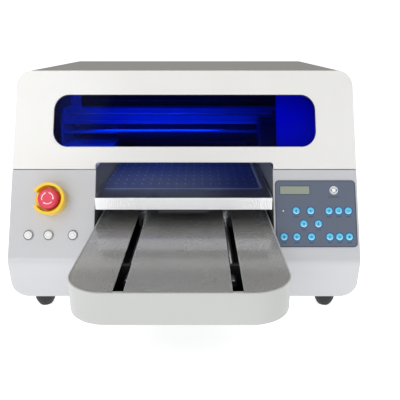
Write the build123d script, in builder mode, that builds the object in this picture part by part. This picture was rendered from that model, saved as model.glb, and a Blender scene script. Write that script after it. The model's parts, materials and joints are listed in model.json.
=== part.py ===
"""Flatbed UV printer, A3 class: one assembly of separate pieces in one shared frame.

Millimetres. +X is to the operator's right, +Y to the rear, +Z up. The origin is the
bottom centre of the whole machine. The print table slides along Y over the tray and
lifts along Z on four columns; the head slides along X on a rail under the beam; the
hood turns on a hinge along the top of the back.
"""
import os
from math import atan, cos, pi, sin

from build123d import *

os.makedirs("parts", exist_ok=True)

# ---- overall size and the slanted front ----
WIDTH = 650.0
REAR_Y = 410.0
TOP_FRONT_Y = -11.0  # front edge of the hood top
HEIGHT = 430.0
FOOT_H = 24.0  # the body starts this high
SLANT = 0.5  # the face runs this much forward per unit of drop
TILT = atan(SLANT)  # lean of the face from the vertical
SHEET = 3.0  # walls of the hood and housings
GAP = 0.3  # clearance between pieces that don't fit into each other
RUN_FIT = 0.05  # radial clearance of everything that turns or slides in a bore

# ---- housings ----
DECK_Z = 254.0  # closed top of both housings
BEND_Z = 100.0  # the face bends to the chin here
BEND_Y = TOP_FRONT_Y - SLANT * (HEIGHT - BEND_Z)
BEND_R = 28.0
CHIN_Y = BEND_Y + 7.5  # foot of the chin
BOTTOM_R = 30.0  # rounded lower outer corners
FLOOR_LIP = 10.0  # bottom flange behind the chin and along the side
CHANNEL_X = 167.0  # half width of the table channel
WALL_T = 2.0  # channel side walls
WALL_TOP = 256.0
HOUSING_REAR = REAR_Y - 4.3

# ---- base and back ----
PAN_Z = FOOT_H + SHEET + GAP
PAN_T = 2.0
PAN_TOP = PAN_Z + PAN_T
PAN_HALF = WIDTH / 2 - 31
PAN_FRONT = CHIN_Y + 7
PAN_RIM = 20.0  # height of the rim along the front
CLOSING_TOP = 112.0  # the rim rises to here under the tray and closes the channel
BACK_FOOT_H = 40.0  # the lowest part of the back is only as wide as the pan
BACK_Y = REAR_Y - 2  # outer face of the back sheet
BACK_HALF = WIDTH / 2 - 7
BACK_TOP = HEIGHT - 16
FLANGE_L = 28.0  # side flanges of the back sheet
VENT_L, VENT_W = 14.0, 3.5
VENT_PITCH_X, VENT_PITCH_Z = 18.0, 9.0
VENT_COLUMNS, VENT_ROWS = 5, 8
VENT_X, VENT_Z = 220.0, 210.0

# ---- hood ----
SEAM = 1.6  # gap between hood and housings
HOOD_SPLIT = 267.0  # the hood ends higher over the channel
HOOD_REAR = REAR_Y - 18
TOP_R = 28.0  # rounded upper corners
WINDOW_HALF = WIDTH / 2 - 74
WINDOW_TOP = HEIGHT - 43.6
WINDOW_LOW = 293.8
WINDOW_R = 28.0
WINDOW_T = 3.0
WINDOW_LAP = 8.0  # the window lies this far over the opening inside
EDGE_R = 1.2  # softened edges of the hood front
HINGE_Y = REAR_Y - 10.5
HINGE_Z = HEIGHT - 8
HINGE_R = 6.0
PIN_R = 3.0
KNUCKLES = 5
HINGE_HALF = WIDTH / 2 - 25
KNUCKLE_ENDS = [HINGE_HALF * (2 * i / KNUCKLES - 1) for i in range(KNUCKLES + 1)]
KNUCKLE_GAP = 0.5
LEAF_T = 2.5  # hinge leaves
FIXED_LEAF_L = 36.0
MOVING_LEAF_L = 32.0

# ---- tray ----
TRAY_TOP = 166.0
TRAY_T = 2.0
TRAY_HALF = 161.0
TRAY_FRONT = -410.0
TRAY_REAR = 232.0
TRAY_R = 60.0
SKIRT_LOW = 118.0
SKIRT_T = 2.5
SKIRT_PROUD = 1.0
SLOT_X = 81.5
SLOT_W = 15.0
SLOT_FRONT = TRAY_FRONT  # the slots are open at the front edge of the tray top
SLOT_REAR = 206.0
SLOT_R = 3.0
SKIRT_EDGE_R = 0.9
SHORTEST_RIM = 10.0  # shorter edges of the skirt's rim stay sharp

# ---- table drive ----
SHAFT_X = 79.0
SHAFT_Z = 144.0
SHAFT_R = 6.0
SHAFT_FRONT = -342.0
SHAFT_REAR = 234.0
TAP_R = 2.5
TAP_DEPTH = 18.0
SHAFT_EDGE = 0.8
FRAME_FRONT = -321.0  # front cross plate of the tray frame
FRAME_REAR = 232.0  # back face of the rear cross plate
FRAME_HALF = 150.0
CROSS_T = 8.0
SCREW_Z = 140.0
SCREW_R = 6.0
JOURNAL_R = 4.0
CARRIAGE_L = 160.0  # the carriage is centred on the origin's Y in the rest pose
CARRIAGE_TOP = 161.0
PLATE_T = 5.0
BEARING_W = 26.0
BEARING_H = 25.0
COLUMN_R = 4.5
COLUMN_TOP = 212.0
COLUMN_Y = 60.0  # columns stand this far before and behind the carriage middle
LIFT_R = 4.0
SLEEVE_R = 6.5
SLEEVE_LOW = 162.4

# ---- print table ----
BED_HALF = 160.0
BED_FRONT = -156.0
BED_L = 420.0
BED_TOP = 217.0
BED_T = 22.0
BED_SKIN = 3.0
FAN_BOX_LOW = 185.0

# ---- gantry and head ----
BEAM_Y = 150.0  # front face of the beam
BEAM_D = 40.0
BEAM_LOW = 299.0
BEAM_TOP = 336.0
BEAM_LEFT = 41 - WIDTH / 2
BEAM_RIGHT = WIDTH / 2 - 29
BRACKET_T = 6.0
BRACKET_FRONT = 122.0
RAIL_Y = 134.0
RAIL_Z = 285.0
RAIL_R = 5.0
HEAD_X = 236.0  # parked over the capping station
HEAD_LOW = 258.0
HEAD_FRONT = 62.0
HEAD_HALF = 40.0
BELT_Y = 162.0
BELT_Z = 360.0
BELT_W = 8.0
BELT_T = 1.4
PULLEY_R = 8.0
PULLEY_LEFT = 63 - WIDTH / 2
PULLEY_RIGHT = WIDTH / 2 - 41
MOTOR = 42.0  # square of both motors
MOTOR_CORNER = 4.0
MOTOR_CAP = 9.0  # end caps; the laminations between them are set in
MOTOR_WAIST = 0.75
MOTOR_BOSS_R = 11.0
MOTOR_BOSS = 0.8
MOTOR_BORE = 6.0
MOTOR_SHAFT_R = 2.5

# ---- controls ----
PANEL_X = 245.25
PANEL_W = 150.5
PANEL_TOP = 236.0
PANEL_LOW = 124.0
PANEL_R = 7.5
PANEL_T = 1.2
KEY_R = 6.5
KEY_PROUD = 1.0
KEY_SLACK = 0.35
KEY_L = 4.2
KEY_EDGE_R = 0.5
KEY_ROWS = [
    (184.3, (208.5, 235.5, 269.5, 287.5, 305.5)),
    (162.5, (222.0, 249.0)),
    (141.0, (185.0, 208.5, 235.5, 269.5, 287.5, 305.5)),
]
LCD_X = 207.0
LCD_Z = 219.2
LCD_W = 55.0
LCD_H = 15.0
LCD_T = 1.0
ESTOP_X = -248.0
ESTOP_Z = 202.5
GUARD_R = 29.5
GUARD_T = 5.0
GUARD_H = 24.0
GUARD_BASE = 4.0
GUARD_OPENING = 26.0  # the wall is open this wide towards the left
STEM_R = 10.0
STEM_SLACK = 1.0  # room for the stem in the housing
STEM_TOP = 12.5
HEAD_R = 19.5
BUTTON_Z = 144.0
BUTTONS_X = (-288.0, -251.0, -206.0)
BUTTON_R = 6.0
BEZEL_R = 9.0
BEZEL_T = 2.2
BARREL_R = 7.8
BARREL_L = 24.0
BUTTON_BORE = 15.0
BUTTON_TOP = 2.9
BUTTON_L = 11.0
BUTTON_EDGE_R = 0.6

# ---- back fittings ----
FAN_X, FAN_Z = -238.0, 150.0
FAN_SIZE = 80.0
FAN_T = 25.0
FAN_BORE = 38.0
INLET_X, INLET_Z = 230.0, 100.0
INLET_W, INLET_H = 27.0, 47.0


OUTWARD = Axis((0, 0, 0), (0, -cos(TILT), sin(TILT)))  # straight out of the slanted face


def face_y(z):
    """Y of the slanted face at height z."""
    return TOP_FRONT_Y - SLANT * (HEIGHT - z)


def face_plane(x, z, out=0.0):
    """Plane on the slanted face at x and z, moved out of the machine by out."""
    normal = Vector(0, -cos(TILT), sin(TILT))
    return Plane(origin=Vector(x, face_y(z), z) + normal * out, x_dir=(1, 0, 0), z_dir=normal)


def behind_face(inset, low, high, rear):
    """Side outline of the room behind the slanted face, moved inwards by inset."""
    run = inset / cos(TILT)
    return [
        (face_y(low) + run, low),
        (face_y(high) + run, high),
        (rear, high),
        (rear, low),
    ]


def save(part, name):
    """Name one piece and write its STEP file."""
    part.label = name
    export_step(part, f"parts/{name}.step")


# ================= fixed body =================

# ---- base and back, one folded sheet with the fixed half of the hood hinge ----
with BuildPart() as base_chassis:
    with BuildSketch(Plane.XY.offset(PAN_Z)):
        with Locations((0, (PAN_FRONT + BACK_Y) / 2)):
            Rectangle(2 * PAN_HALF, BACK_Y - PAN_FRONT)
    extrude(amount=PAN_T)
    with BuildSketch(Plane.XZ.offset(-PAN_FRONT - PAN_T)):
        with Locations((0, PAN_Z)):
            Rectangle(2 * PAN_HALF, PAN_RIM, align=(Align.CENTER, Align.MIN))
            Rectangle(2 * (CHANNEL_X - SHEET), CLOSING_TOP - PAN_Z, align=(Align.CENTER, Align.MIN))
    extrude(amount=PAN_T)
    with BuildSketch(Plane.XZ.offset(-BACK_Y)):
        with Locations((0, PAN_Z)):
            Rectangle(2 * PAN_HALF, BACK_TOP - PAN_Z, align=(Align.CENTER, Align.MIN))
        with Locations((0, PAN_Z + BACK_FOOT_H)):
            Rectangle(2 * BACK_HALF, BACK_TOP - PAN_Z - BACK_FOOT_H, align=(Align.CENTER, Align.MIN))
        with Locations((FAN_X, FAN_Z)):
            Circle(FAN_BORE, mode=Mode.SUBTRACT)
        with Locations((INLET_X, INLET_Z)):
            Rectangle(INLET_W + 2 * GAP, INLET_H + 2 * GAP, mode=Mode.SUBTRACT)
        with Locations((VENT_X, VENT_Z)):
            with GridLocations(VENT_PITCH_X, VENT_PITCH_Z, VENT_COLUMNS, VENT_ROWS):
                SlotOverall(VENT_L, VENT_W, mode=Mode.SUBTRACT)
    extrude(amount=PAN_T)
    with BuildSketch(Plane.XY.offset(DECK_Z + GAP)):
        with Locations((BACK_HALF - PAN_T / 2, BACK_Y - FLANGE_L / 2),
                       (PAN_T / 2 - BACK_HALF, BACK_Y - FLANGE_L / 2)):
            Rectangle(PAN_T, FLANGE_L)
    extrude(amount=BACK_TOP - DECK_Z - GAP)
    for x0, x1 in zip(KNUCKLE_ENDS[0::2], KNUCKLE_ENDS[1::2]):
        with BuildSketch(Plane.YZ.offset(x0)):
            with Locations((HINGE_Y, HINGE_Z)):
                Circle(HINGE_R)
            with Locations((BACK_Y - PAN_T, HINGE_Z)):
                Rectangle(LEAF_T, FIXED_LEAF_L, align=(Align.MAX, Align.MAX))
        extrude(amount=x1 - x0)
    with BuildSketch(Plane.YZ.offset(KNUCKLE_ENDS[0])):
        with Locations((HINGE_Y, HINGE_Z)):
            Circle(PIN_R)
    extrude(amount=KNUCKLE_ENDS[-1] - KNUCKLE_ENDS[0])
save(base_chassis.part, "base_chassis")

# ---- four rubber feet, each with a spigot up to the pan ----
FOOT_X = WIDTH / 2 - 54
FOOT_YS = (CHIN_Y + 21.5, REAR_Y - 38)
FOOT_R = 19.0
FOOT_WAIST_R = 18.0
SOLE_R = 12.0
SPIGOT_R = 9.0
with BuildPart() as one_foot:
    with BuildSketch(Plane.XZ):
        with BuildLine():
            Polyline((SOLE_R, 0), (0, 0), (0, PAN_Z - GAP), (SPIGOT_R, PAN_Z - GAP),
                     (SPIGOT_R, FOOT_H - GAP), (FOOT_R, FOOT_H - GAP))
            Spline((FOOT_R, FOOT_H - GAP), (FOOT_WAIST_R, FOOT_H / 2), (SOLE_R, 0))
        make_face()
    revolve(axis=Axis.Z)
with BuildPart() as rubber_feet:
    with Locations([(x, y, 0) for x in (-FOOT_X, FOOT_X) for y in FOOT_YS]):
        add(one_foot.part)
save(rubber_feet.part, "rubber_feet")


CUT = 1.0  # cutting bodies reach this far past what they cut
REAR_CUT = 9.0  # and this far past the open rear of a housing
FACE_EDGE_R = 2.0  # softened outer edge of each housing's face


def build_housing(side):
    """Right (+1) or left (-1) housing: a shell open at the back and towards the channel."""
    side_edge = side * WIDTH / 2
    with BuildPart() as hollow:
        with BuildSketch(Plane.YZ.offset(side * (CHANNEL_X - CUT))) as outline:
            with BuildLine():
                Polyline((CHIN_Y, FOOT_H), (BEND_Y, BEND_Z), (face_y(DECK_Z), DECK_Z),
                         (HOUSING_REAR + REAR_CUT, DECK_Z), (HOUSING_REAR + REAR_CUT, FOOT_H), close=True)
            make_face()
            fillet(outline.vertices().sort_by(Axis.X)[0], BEND_R)
            offset(amount=-SHEET, kind=Kind.INTERSECTION)
        extrude(amount=side * (WIDTH / 2 - SHEET - CHANNEL_X + CUT))
        low = hollow.edges().filter_by(Axis.Y).group_by(Axis.Z)[0]
        fillet(low.sort_by(Axis.X)[-1 if side > 0 else 0], BOTTOM_R - SHEET)
        with BuildSketch(Plane.XY.offset(FOOT_H - CUT)):
            with Locations((side * (CHANNEL_X - CUT), CHIN_Y + FLOOR_LIP)):
                Rectangle(WIDTH / 2 - CHANNEL_X + CUT - BOTTOM_R - FLOOR_LIP,
                          HOUSING_REAR - CHIN_Y + REAR_CUT,
                          align=(Align.MIN if side > 0 else Align.MAX, Align.MIN))
        extrude(amount=SHEET + 2 * CUT)
        # strip cut from the deck for the channel wall that stands up through it
        with BuildSketch(Plane.YZ.offset(side * (CHANNEL_X - CUT))):
            Polygon(*behind_face(SHEET, DECK_Z - SHEET - CUT, DECK_Z + CUT, HOUSING_REAR + REAR_CUT),
                    align=None)
        extrude(amount=side * (WALL_T + GAP + CUT))
    with BuildPart() as shell:
        with BuildSketch(Plane.YZ.offset(side * CHANNEL_X)) as outline:
            with BuildLine():
                Polyline((CHIN_Y, FOOT_H), (BEND_Y, BEND_Z), (face_y(DECK_Z), DECK_Z),
                         (HOUSING_REAR, DECK_Z), (HOUSING_REAR, FOOT_H), close=True)
            make_face()
            fillet(outline.vertices().sort_by(Axis.X)[0], BEND_R)
        extrude(amount=side * (WIDTH / 2 - CHANNEL_X))
        low = shell.edges().filter_by(Axis.Y).group_by(Axis.Z)[0]
        fillet(low.sort_by(Axis.X)[-1 if side > 0 else 0], BOTTOM_R)
        outer = shell.edges().filter_by(lambda e: abs(e.center().X - side_edge) < RUN_FIT)
        on_face = outer.filter_by(lambda e: abs(e.center().Y - face_y(e.center().Z)) < SHEET)
        fillet(on_face.filter_by(lambda e: e.center().Z > BOTTOM_R), FACE_EDGE_R)
        add(hollow.part, mode=Mode.SUBTRACT)
    return shell


# ---- left housing: holes for the emergency stop and the three buttons ----
left_shell = build_housing(-1)
with BuildPart() as left_housing:
    add(left_shell.part)
    with BuildSketch(face_plane(ESTOP_X, ESTOP_Z, CUT)):
        Circle(STEM_R + STEM_SLACK)
    extrude(amount=-SHEET - 2 * CUT, mode=Mode.SUBTRACT)
    for x in BUTTONS_X:
        with BuildSketch(face_plane(x, BUTTON_Z, CUT)):
            Circle(BARREL_R + GAP)
        extrude(amount=-SHEET - 2 * CUT, mode=Mode.SUBTRACT)
save(left_housing.part, "left_housing")

# ---- right housing: holes for the keys and the display, well for the capping station ----
CAP_W, CAP_D = 58.0, 66.0
CAP_Y = 100.0
WELL_SLACK = 3.0  # room round the capping station
WELL_R = 4.0
LCD_LAP = 3.0  # the display window lies this far over its hole at each end
right_shell = build_housing(1)
with BuildPart() as right_housing:
    add(right_shell.part)
    for z, xs in KEY_ROWS:
        for x in xs:
            with BuildSketch(face_plane(x, z, CUT)):
                Circle(KEY_R + KEY_SLACK)
            extrude(amount=-SHEET - 2 * CUT, mode=Mode.SUBTRACT)
    with BuildSketch(face_plane(LCD_X, LCD_Z, CUT)):
        Rectangle(LCD_W - 2 * LCD_LAP, LCD_H - LCD_LAP)
    extrude(amount=-SHEET - 2 * CUT, mode=Mode.SUBTRACT)
    with BuildSketch(Plane.XY.offset(DECK_Z + CUT)):
        with Locations((HEAD_X, CAP_Y)):
            RectangleRounded(CAP_W + 2 * WELL_SLACK, CAP_D + 2 * WELL_SLACK, WELL_R)
    extrude(amount=-SHEET - 2 * CUT, mode=Mode.SUBTRACT)
save(right_housing.part, "right_housing")

# ---- channel side walls, one sheet behind each face ----
wall_inset = (SHEET + GAP) / cos(TILT)
wall_low = PAN_Z + PAN_RIM + GAP
wall_rear = BACK_Y - PAN_T - GAP
with BuildPart() as channel_walls:
    for x in (-CHANNEL_X, CHANNEL_X):
        with BuildSketch(Plane.YZ.offset(x)):
            with BuildLine():
                Polyline((CHIN_Y + FLOOR_LIP, wall_low), (BEND_Y + wall_inset + WALL_T, BEND_Z),
                         (face_y(WALL_TOP) + wall_inset, WALL_TOP), (wall_rear, WALL_TOP),
                         (wall_rear, wall_low), close=True)
            make_face()
        extrude(amount=WALL_T if x > 0 else -WALL_T)
save(channel_walls.part, "channel_walls")

# ================= tray and table drive =================

# ---- tray top with two long slots for the table posts ----
inner = SKIRT_T + GAP
SLOT_MID = (SLOT_FRONT + SLOT_REAR) / 2
with BuildPart() as tray_plate:
    with BuildSketch(Plane.XY.offset(TRAY_TOP - TRAY_T)) as plan:
        with Locations((0, (TRAY_FRONT + TRAY_REAR) / 2)):
            Rectangle(2 * (TRAY_HALF - inner), TRAY_REAR - TRAY_FRONT - 2 * inner)
        fillet(plan.vertices().group_by(Axis.Y)[0], TRAY_R - inner)
        with Locations((SLOT_X, SLOT_MID), (-SLOT_X, SLOT_MID)):
            RectangleRounded(SLOT_W, SLOT_REAR - SLOT_FRONT, SLOT_R, mode=Mode.SUBTRACT)
    extrude(amount=TRAY_T)
save(tray_plate.part, "tray_plate")

# ---- skirt: a band round the tray, a little proud of the top ----
with BuildPart() as tray_skirt:
    with BuildSketch(Plane.XY.offset(SKIRT_LOW)) as band:
        with Locations((0, (TRAY_FRONT + TRAY_REAR) / 2)):
            Rectangle(2 * TRAY_HALF, TRAY_REAR - TRAY_FRONT)
        fillet(band.vertices().group_by(Axis.Y)[0], TRAY_R)
        offset(amount=-SKIRT_T, mode=Mode.SUBTRACT)
        with Locations((0, TRAY_REAR)):
            Rectangle(2 * (TRAY_HALF - SKIRT_T), 2 * TRAY_R, mode=Mode.SUBTRACT)
    extrude(amount=TRAY_TOP + SKIRT_PROUD - SKIRT_LOW)
    rim = tray_skirt.faces().sort_by(Axis.Z)[-1].edges()
    fillet(rim.filter_by(lambda e: e.length > SHORTEST_RIM), SKIRT_EDGE_R)
save(tray_skirt.part, "tray_skirt")

# ---- tray frame: floor plate, two cross plates with the shaft bores, four legs ----
FRAME_FLOOR = 3.0
TONGUE_HALF = 98.0  # the floor narrows towards the rounded front of the tray
TONGUE_FRONT = -404.0
CROSS_W = 220.0
LEG_X, LEG_YS = 130.0, (-110.0, 180.0)
LEG_T, LEG_L = 6.0, 60.0
with BuildPart() as tray_frame:
    with BuildSketch(Plane.XY.offset(SKIRT_LOW)):
        with Locations((0, FRAME_FRONT)):
            Rectangle(2 * FRAME_HALF, FRAME_REAR - FRAME_FRONT, align=(Align.CENTER, Align.MIN))
        with Locations((0, TONGUE_FRONT)):
            Rectangle(2 * TONGUE_HALF, FRAME_FRONT - TONGUE_FRONT, align=(Align.CENTER, Align.MIN))
    extrude(amount=FRAME_FLOOR)
    for y in (FRAME_FRONT + CROSS_T, FRAME_REAR):
        with BuildSketch(Plane.XZ.offset(-y)):
            with Locations((0, SKIRT_LOW)):
                Rectangle(CROSS_W, TRAY_TOP - TRAY_T - GAP - SKIRT_LOW, align=(Align.CENTER, Align.MIN))
            with Locations((-SHAFT_X, SHAFT_Z), (SHAFT_X, SHAFT_Z)):
                Circle(SHAFT_R + RUN_FIT, mode=Mode.SUBTRACT)
            with Locations((0, SCREW_Z)):
                Circle(JOURNAL_R + RUN_FIT, mode=Mode.SUBTRACT)
        extrude(amount=CROSS_T)
    for y in LEG_YS:
        with BuildSketch(Plane.XY.offset(PAN_TOP + GAP)):
            with Locations((-LEG_X, y), (LEG_X, y)):
                Rectangle(LEG_T, LEG_L)
        extrude(amount=SKIRT_LOW - PAN_TOP - GAP)
save(tray_frame.part, "tray_frame")

# ---- two ground shafts the table carriage runs on, tapped at the front ----
with BuildPart() as y_shafts:
    for x in (-SHAFT_X, SHAFT_X):
        with BuildSketch(Plane.XZ.offset(-SHAFT_REAR)):
            with Locations((x, SHAFT_Z)):
                Circle(SHAFT_R)
        extrude(amount=SHAFT_REAR - SHAFT_FRONT)
        with BuildSketch(Plane.XZ.offset(-SHAFT_FRONT)):
            with Locations((x, SHAFT_Z)):
                Circle(TAP_R)
        extrude(amount=-TAP_DEPTH, mode=Mode.SUBTRACT)
    rims = y_shafts.edges().filter_by(GeomType.CIRCLE)
    chamfer(rims.filter_by(lambda e: e.radius > TAP_R + SHAFT_EDGE), SHAFT_EDGE)
save(y_shafts.part, "y_shafts")

# ---- table screw, turned down at both ends to run in the cross plates ----
JOURNAL_PROUD = 2.0  # the rear journal passes the cross plate by this much
with BuildPart() as y_screw:
    with BuildSketch(Plane.XZ.offset(-(FRAME_REAR - CROSS_T - GAP))):
        with Locations((0, SCREW_Z)):
            Circle(SCREW_R)
    extrude(amount=FRAME_REAR - FRAME_FRONT - 2 * CROSS_T - 2 * GAP)
    with BuildSketch(Plane.XZ.offset(-(FRAME_REAR + JOURNAL_PROUD))):
        with Locations((0, SCREW_Z)):
            Circle(JOURNAL_R)
    extrude(amount=FRAME_REAR - FRAME_FRONT + JOURNAL_PROUD)
save(y_screw.part, "y_screw")


def build_motor(depth):
    """Square stepping motor on the XY plane, its back at z = 0, with laminated waist and boss."""
    with BuildPart() as motor:
        with BuildSketch():
            RectangleRounded(MOTOR, MOTOR, MOTOR_CORNER)
        extrude(amount=depth)
        with BuildSketch(Plane.XY.offset(MOTOR_CAP)):
            Rectangle(MOTOR + 2 * MOTOR_WAIST, MOTOR + 2 * MOTOR_WAIST)
            RectangleRounded(MOTOR - 2 * MOTOR_WAIST, MOTOR - 2 * MOTOR_WAIST, MOTOR_CORNER,
                             mode=Mode.SUBTRACT)
        extrude(amount=depth - 2 * MOTOR_CAP, mode=Mode.SUBTRACT)
        with BuildSketch(Plane.XY.offset(depth)):
            Circle(MOTOR_BOSS_R)
        extrude(amount=MOTOR_BOSS)
        with BuildSketch(Plane.XY.offset(depth + MOTOR_BOSS)):
            Circle(MOTOR_SHAFT_R + GAP)
        extrude(amount=-MOTOR_BORE, mode=Mode.SUBTRACT)
    return motor


# ---- table motor behind the rear cross plate ----
Y_MOTOR_L = 46.0
table_motor = build_motor(Y_MOTOR_L)
y_motor_back = FRAME_REAR + JOURNAL_PROUD + GAP + Y_MOTOR_L + MOTOR_BOSS
with BuildPart() as y_motor:
    with Locations(Plane(origin=(0, y_motor_back, SCREW_Z), x_dir=(1, 0, 0), z_dir=(0, -1, 0))):
        add(table_motor.part)
save(y_motor.part, "y_motor")

# ---- carriage under the tray: top plate, bearing blocks, nut block and four columns ----
PLATE_MARGIN = 3.0  # the plate is this much wider than the bearing blocks
PLATE_R = 4.0
NUT_W, NUT_H, NUT_L = 36.0, 30.0, 40.0
with BuildPart() as table_carriage:
    with BuildSketch(Plane.XY.offset(CARRIAGE_TOP - PLATE_T)):
        RectangleRounded(2 * (SHAFT_X + BEARING_W / 2 + PLATE_MARGIN), CARRIAGE_L, PLATE_R)
    extrude(amount=PLATE_T)
    with BuildSketch(Plane.XZ.offset(-CARRIAGE_L / 2)):
        for x in (-SHAFT_X, SHAFT_X):
            with Locations((x, CARRIAGE_TOP - PLATE_T)):
                Rectangle(BEARING_W, BEARING_H, align=(Align.CENTER, Align.MAX))
            with Locations((x, SHAFT_Z)):
                Circle(SHAFT_R + RUN_FIT, mode=Mode.SUBTRACT)
    extrude(amount=CARRIAGE_L)
    with BuildSketch(Plane.XZ.offset(-NUT_L / 2)):
        with Locations((0, CARRIAGE_TOP - PLATE_T)):
            Rectangle(NUT_W, NUT_H, align=(Align.CENTER, Align.MAX))
        with Locations((0, SCREW_Z)):
            Circle(SCREW_R + RUN_FIT, mode=Mode.SUBTRACT)
    extrude(amount=NUT_L)
    with BuildSketch(Plane.XY.offset(CARRIAGE_TOP)):
        with GridLocations(2 * SLOT_X, 2 * COLUMN_Y, 2, 2):
            Circle(COLUMN_R)
    extrude(amount=COLUMN_TOP - CARRIAGE_TOP)
    with BuildSketch(Plane.XY.offset(CARRIAGE_TOP)):
        with Locations((-SLOT_X, 0), (SLOT_X, 0)):
            Circle(LIFT_R + RUN_FIT)
    extrude(amount=-PLATE_T, mode=Mode.SUBTRACT)
save(table_carriage.part, "table_carriage")

# ---- two lift screws standing in the carriage between the columns ----
for name, x in (("lift_screw_left", -SLOT_X), ("lift_screw_right", SLOT_X)):
    with BuildPart() as lift_screw:
        with BuildSketch(Plane.XY.offset(CARRIAGE_TOP - PLATE_T + GAP)):
            with Locations((x, 0)):
                Circle(LIFT_R)
        extrude(amount=COLUMN_TOP - CARRIAGE_TOP + PLATE_T - GAP)
    save(lift_screw.part, name)

# ---- table frame: open plate with four column sleeves and two lift nuts reaching through the slots ----
FRAME_PLATE_Z = 197.0
FRAME_PLATE_T = 4.0
RING_OUT = 24.0  # the plate reaches this far outside the columns
RING_IN = 15.0  # and this far inside them
RING_R = 6.0
RIB_T = 4.0
BED_UNDERSIDE = BED_TOP - BED_SKIN - GAP
with BuildPart() as table_frame:
    with BuildSketch(Plane.XY.offset(FRAME_PLATE_Z)):
        RectangleRounded(2 * (SLOT_X + RING_OUT), 2 * (COLUMN_Y + RING_OUT), RING_R)
        RectangleRounded(2 * (SLOT_X - RING_IN), 2 * (COLUMN_Y - RING_IN), RING_R, mode=Mode.SUBTRACT)
    extrude(amount=FRAME_PLATE_T)
    with BuildSketch(Plane.XY.offset(FRAME_PLATE_Z + FRAME_PLATE_T)):
        with GridLocations(1, 2 * (COLUMN_Y + RING_OUT) - 2 * RIB_T, 1, 2):
            Rectangle(2 * SLOT_X + RING_OUT, RIB_T)
    extrude(amount=BED_UNDERSIDE - FRAME_PLATE_Z - FRAME_PLATE_T)
    with BuildSketch(Plane.XY.offset(SLEEVE_LOW)):
        with GridLocations(2 * SLOT_X, COLUMN_Y, 2, 3):
            Circle(SLEEVE_R)
    extrude(amount=BED_UNDERSIDE - SLEEVE_LOW)
    with BuildSketch(Plane.XY.offset(SLEEVE_LOW)):
        with GridLocations(2 * SLOT_X, 2 * COLUMN_Y, 2, 2):
            Circle(COLUMN_R + RUN_FIT)
        with Locations((-SLOT_X, 0), (SLOT_X, 0)):
            Circle(LIFT_R + RUN_FIT)
    extrude(amount=BED_TOP - SLEEVE_LOW, mode=Mode.SUBTRACT)
save(table_frame.part, "table_frame")

# ---- table top: milled plate, hollow below ----
BED_WALL = 4.0
BED_EDGE = 0.8
BED_MID = BED_FRONT + BED_L / 2
with BuildPart() as table_top:
    with BuildSketch(Plane.XY.offset(BED_TOP - BED_T)):
        with Locations((0, BED_MID)):
            Rectangle(2 * BED_HALF, BED_L)
    extrude(amount=BED_T)
    with BuildSketch(Plane.XY.offset(BED_TOP - BED_T)):
        with Locations((0, BED_MID)):
            Rectangle(2 * (BED_HALF - BED_WALL), BED_L - 2 * BED_WALL)
    extrude(amount=BED_T - BED_SKIN, mode=Mode.SUBTRACT)
    chamfer(table_top.faces().sort_by(Axis.Z)[-1].outer_wire().edges(), BED_EDGE)
save(table_top.part, "table_top")

# ---- suction fan box under the front of the table top ----
FAN_BOX_FRONT = BED_FRONT + BED_WALL + GAP
FAN_BOX_REAR = -COLUMN_Y - RING_OUT - GAP
FAN_BOX_W = 100.0
FAN_BOX_R = 9.0
FAN_BOX_EDGE_R = 4.0
with BuildPart() as suction_fan:
    with BuildSketch(Plane.XY.offset(FAN_BOX_LOW)):
        with Locations((0, (FAN_BOX_FRONT + FAN_BOX_REAR) / 2)):
            RectangleRounded(FAN_BOX_W, FAN_BOX_REAR - FAN_BOX_FRONT, FAN_BOX_R)
    extrude(amount=BED_UNDERSIDE - FAN_BOX_LOW)
    fillet(suction_fan.faces().sort_by(Axis.Z)[0].edges(), FAN_BOX_EDGE_R)
save(suction_fan.part, "suction_fan")

# ================= gantry and head =================

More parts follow.
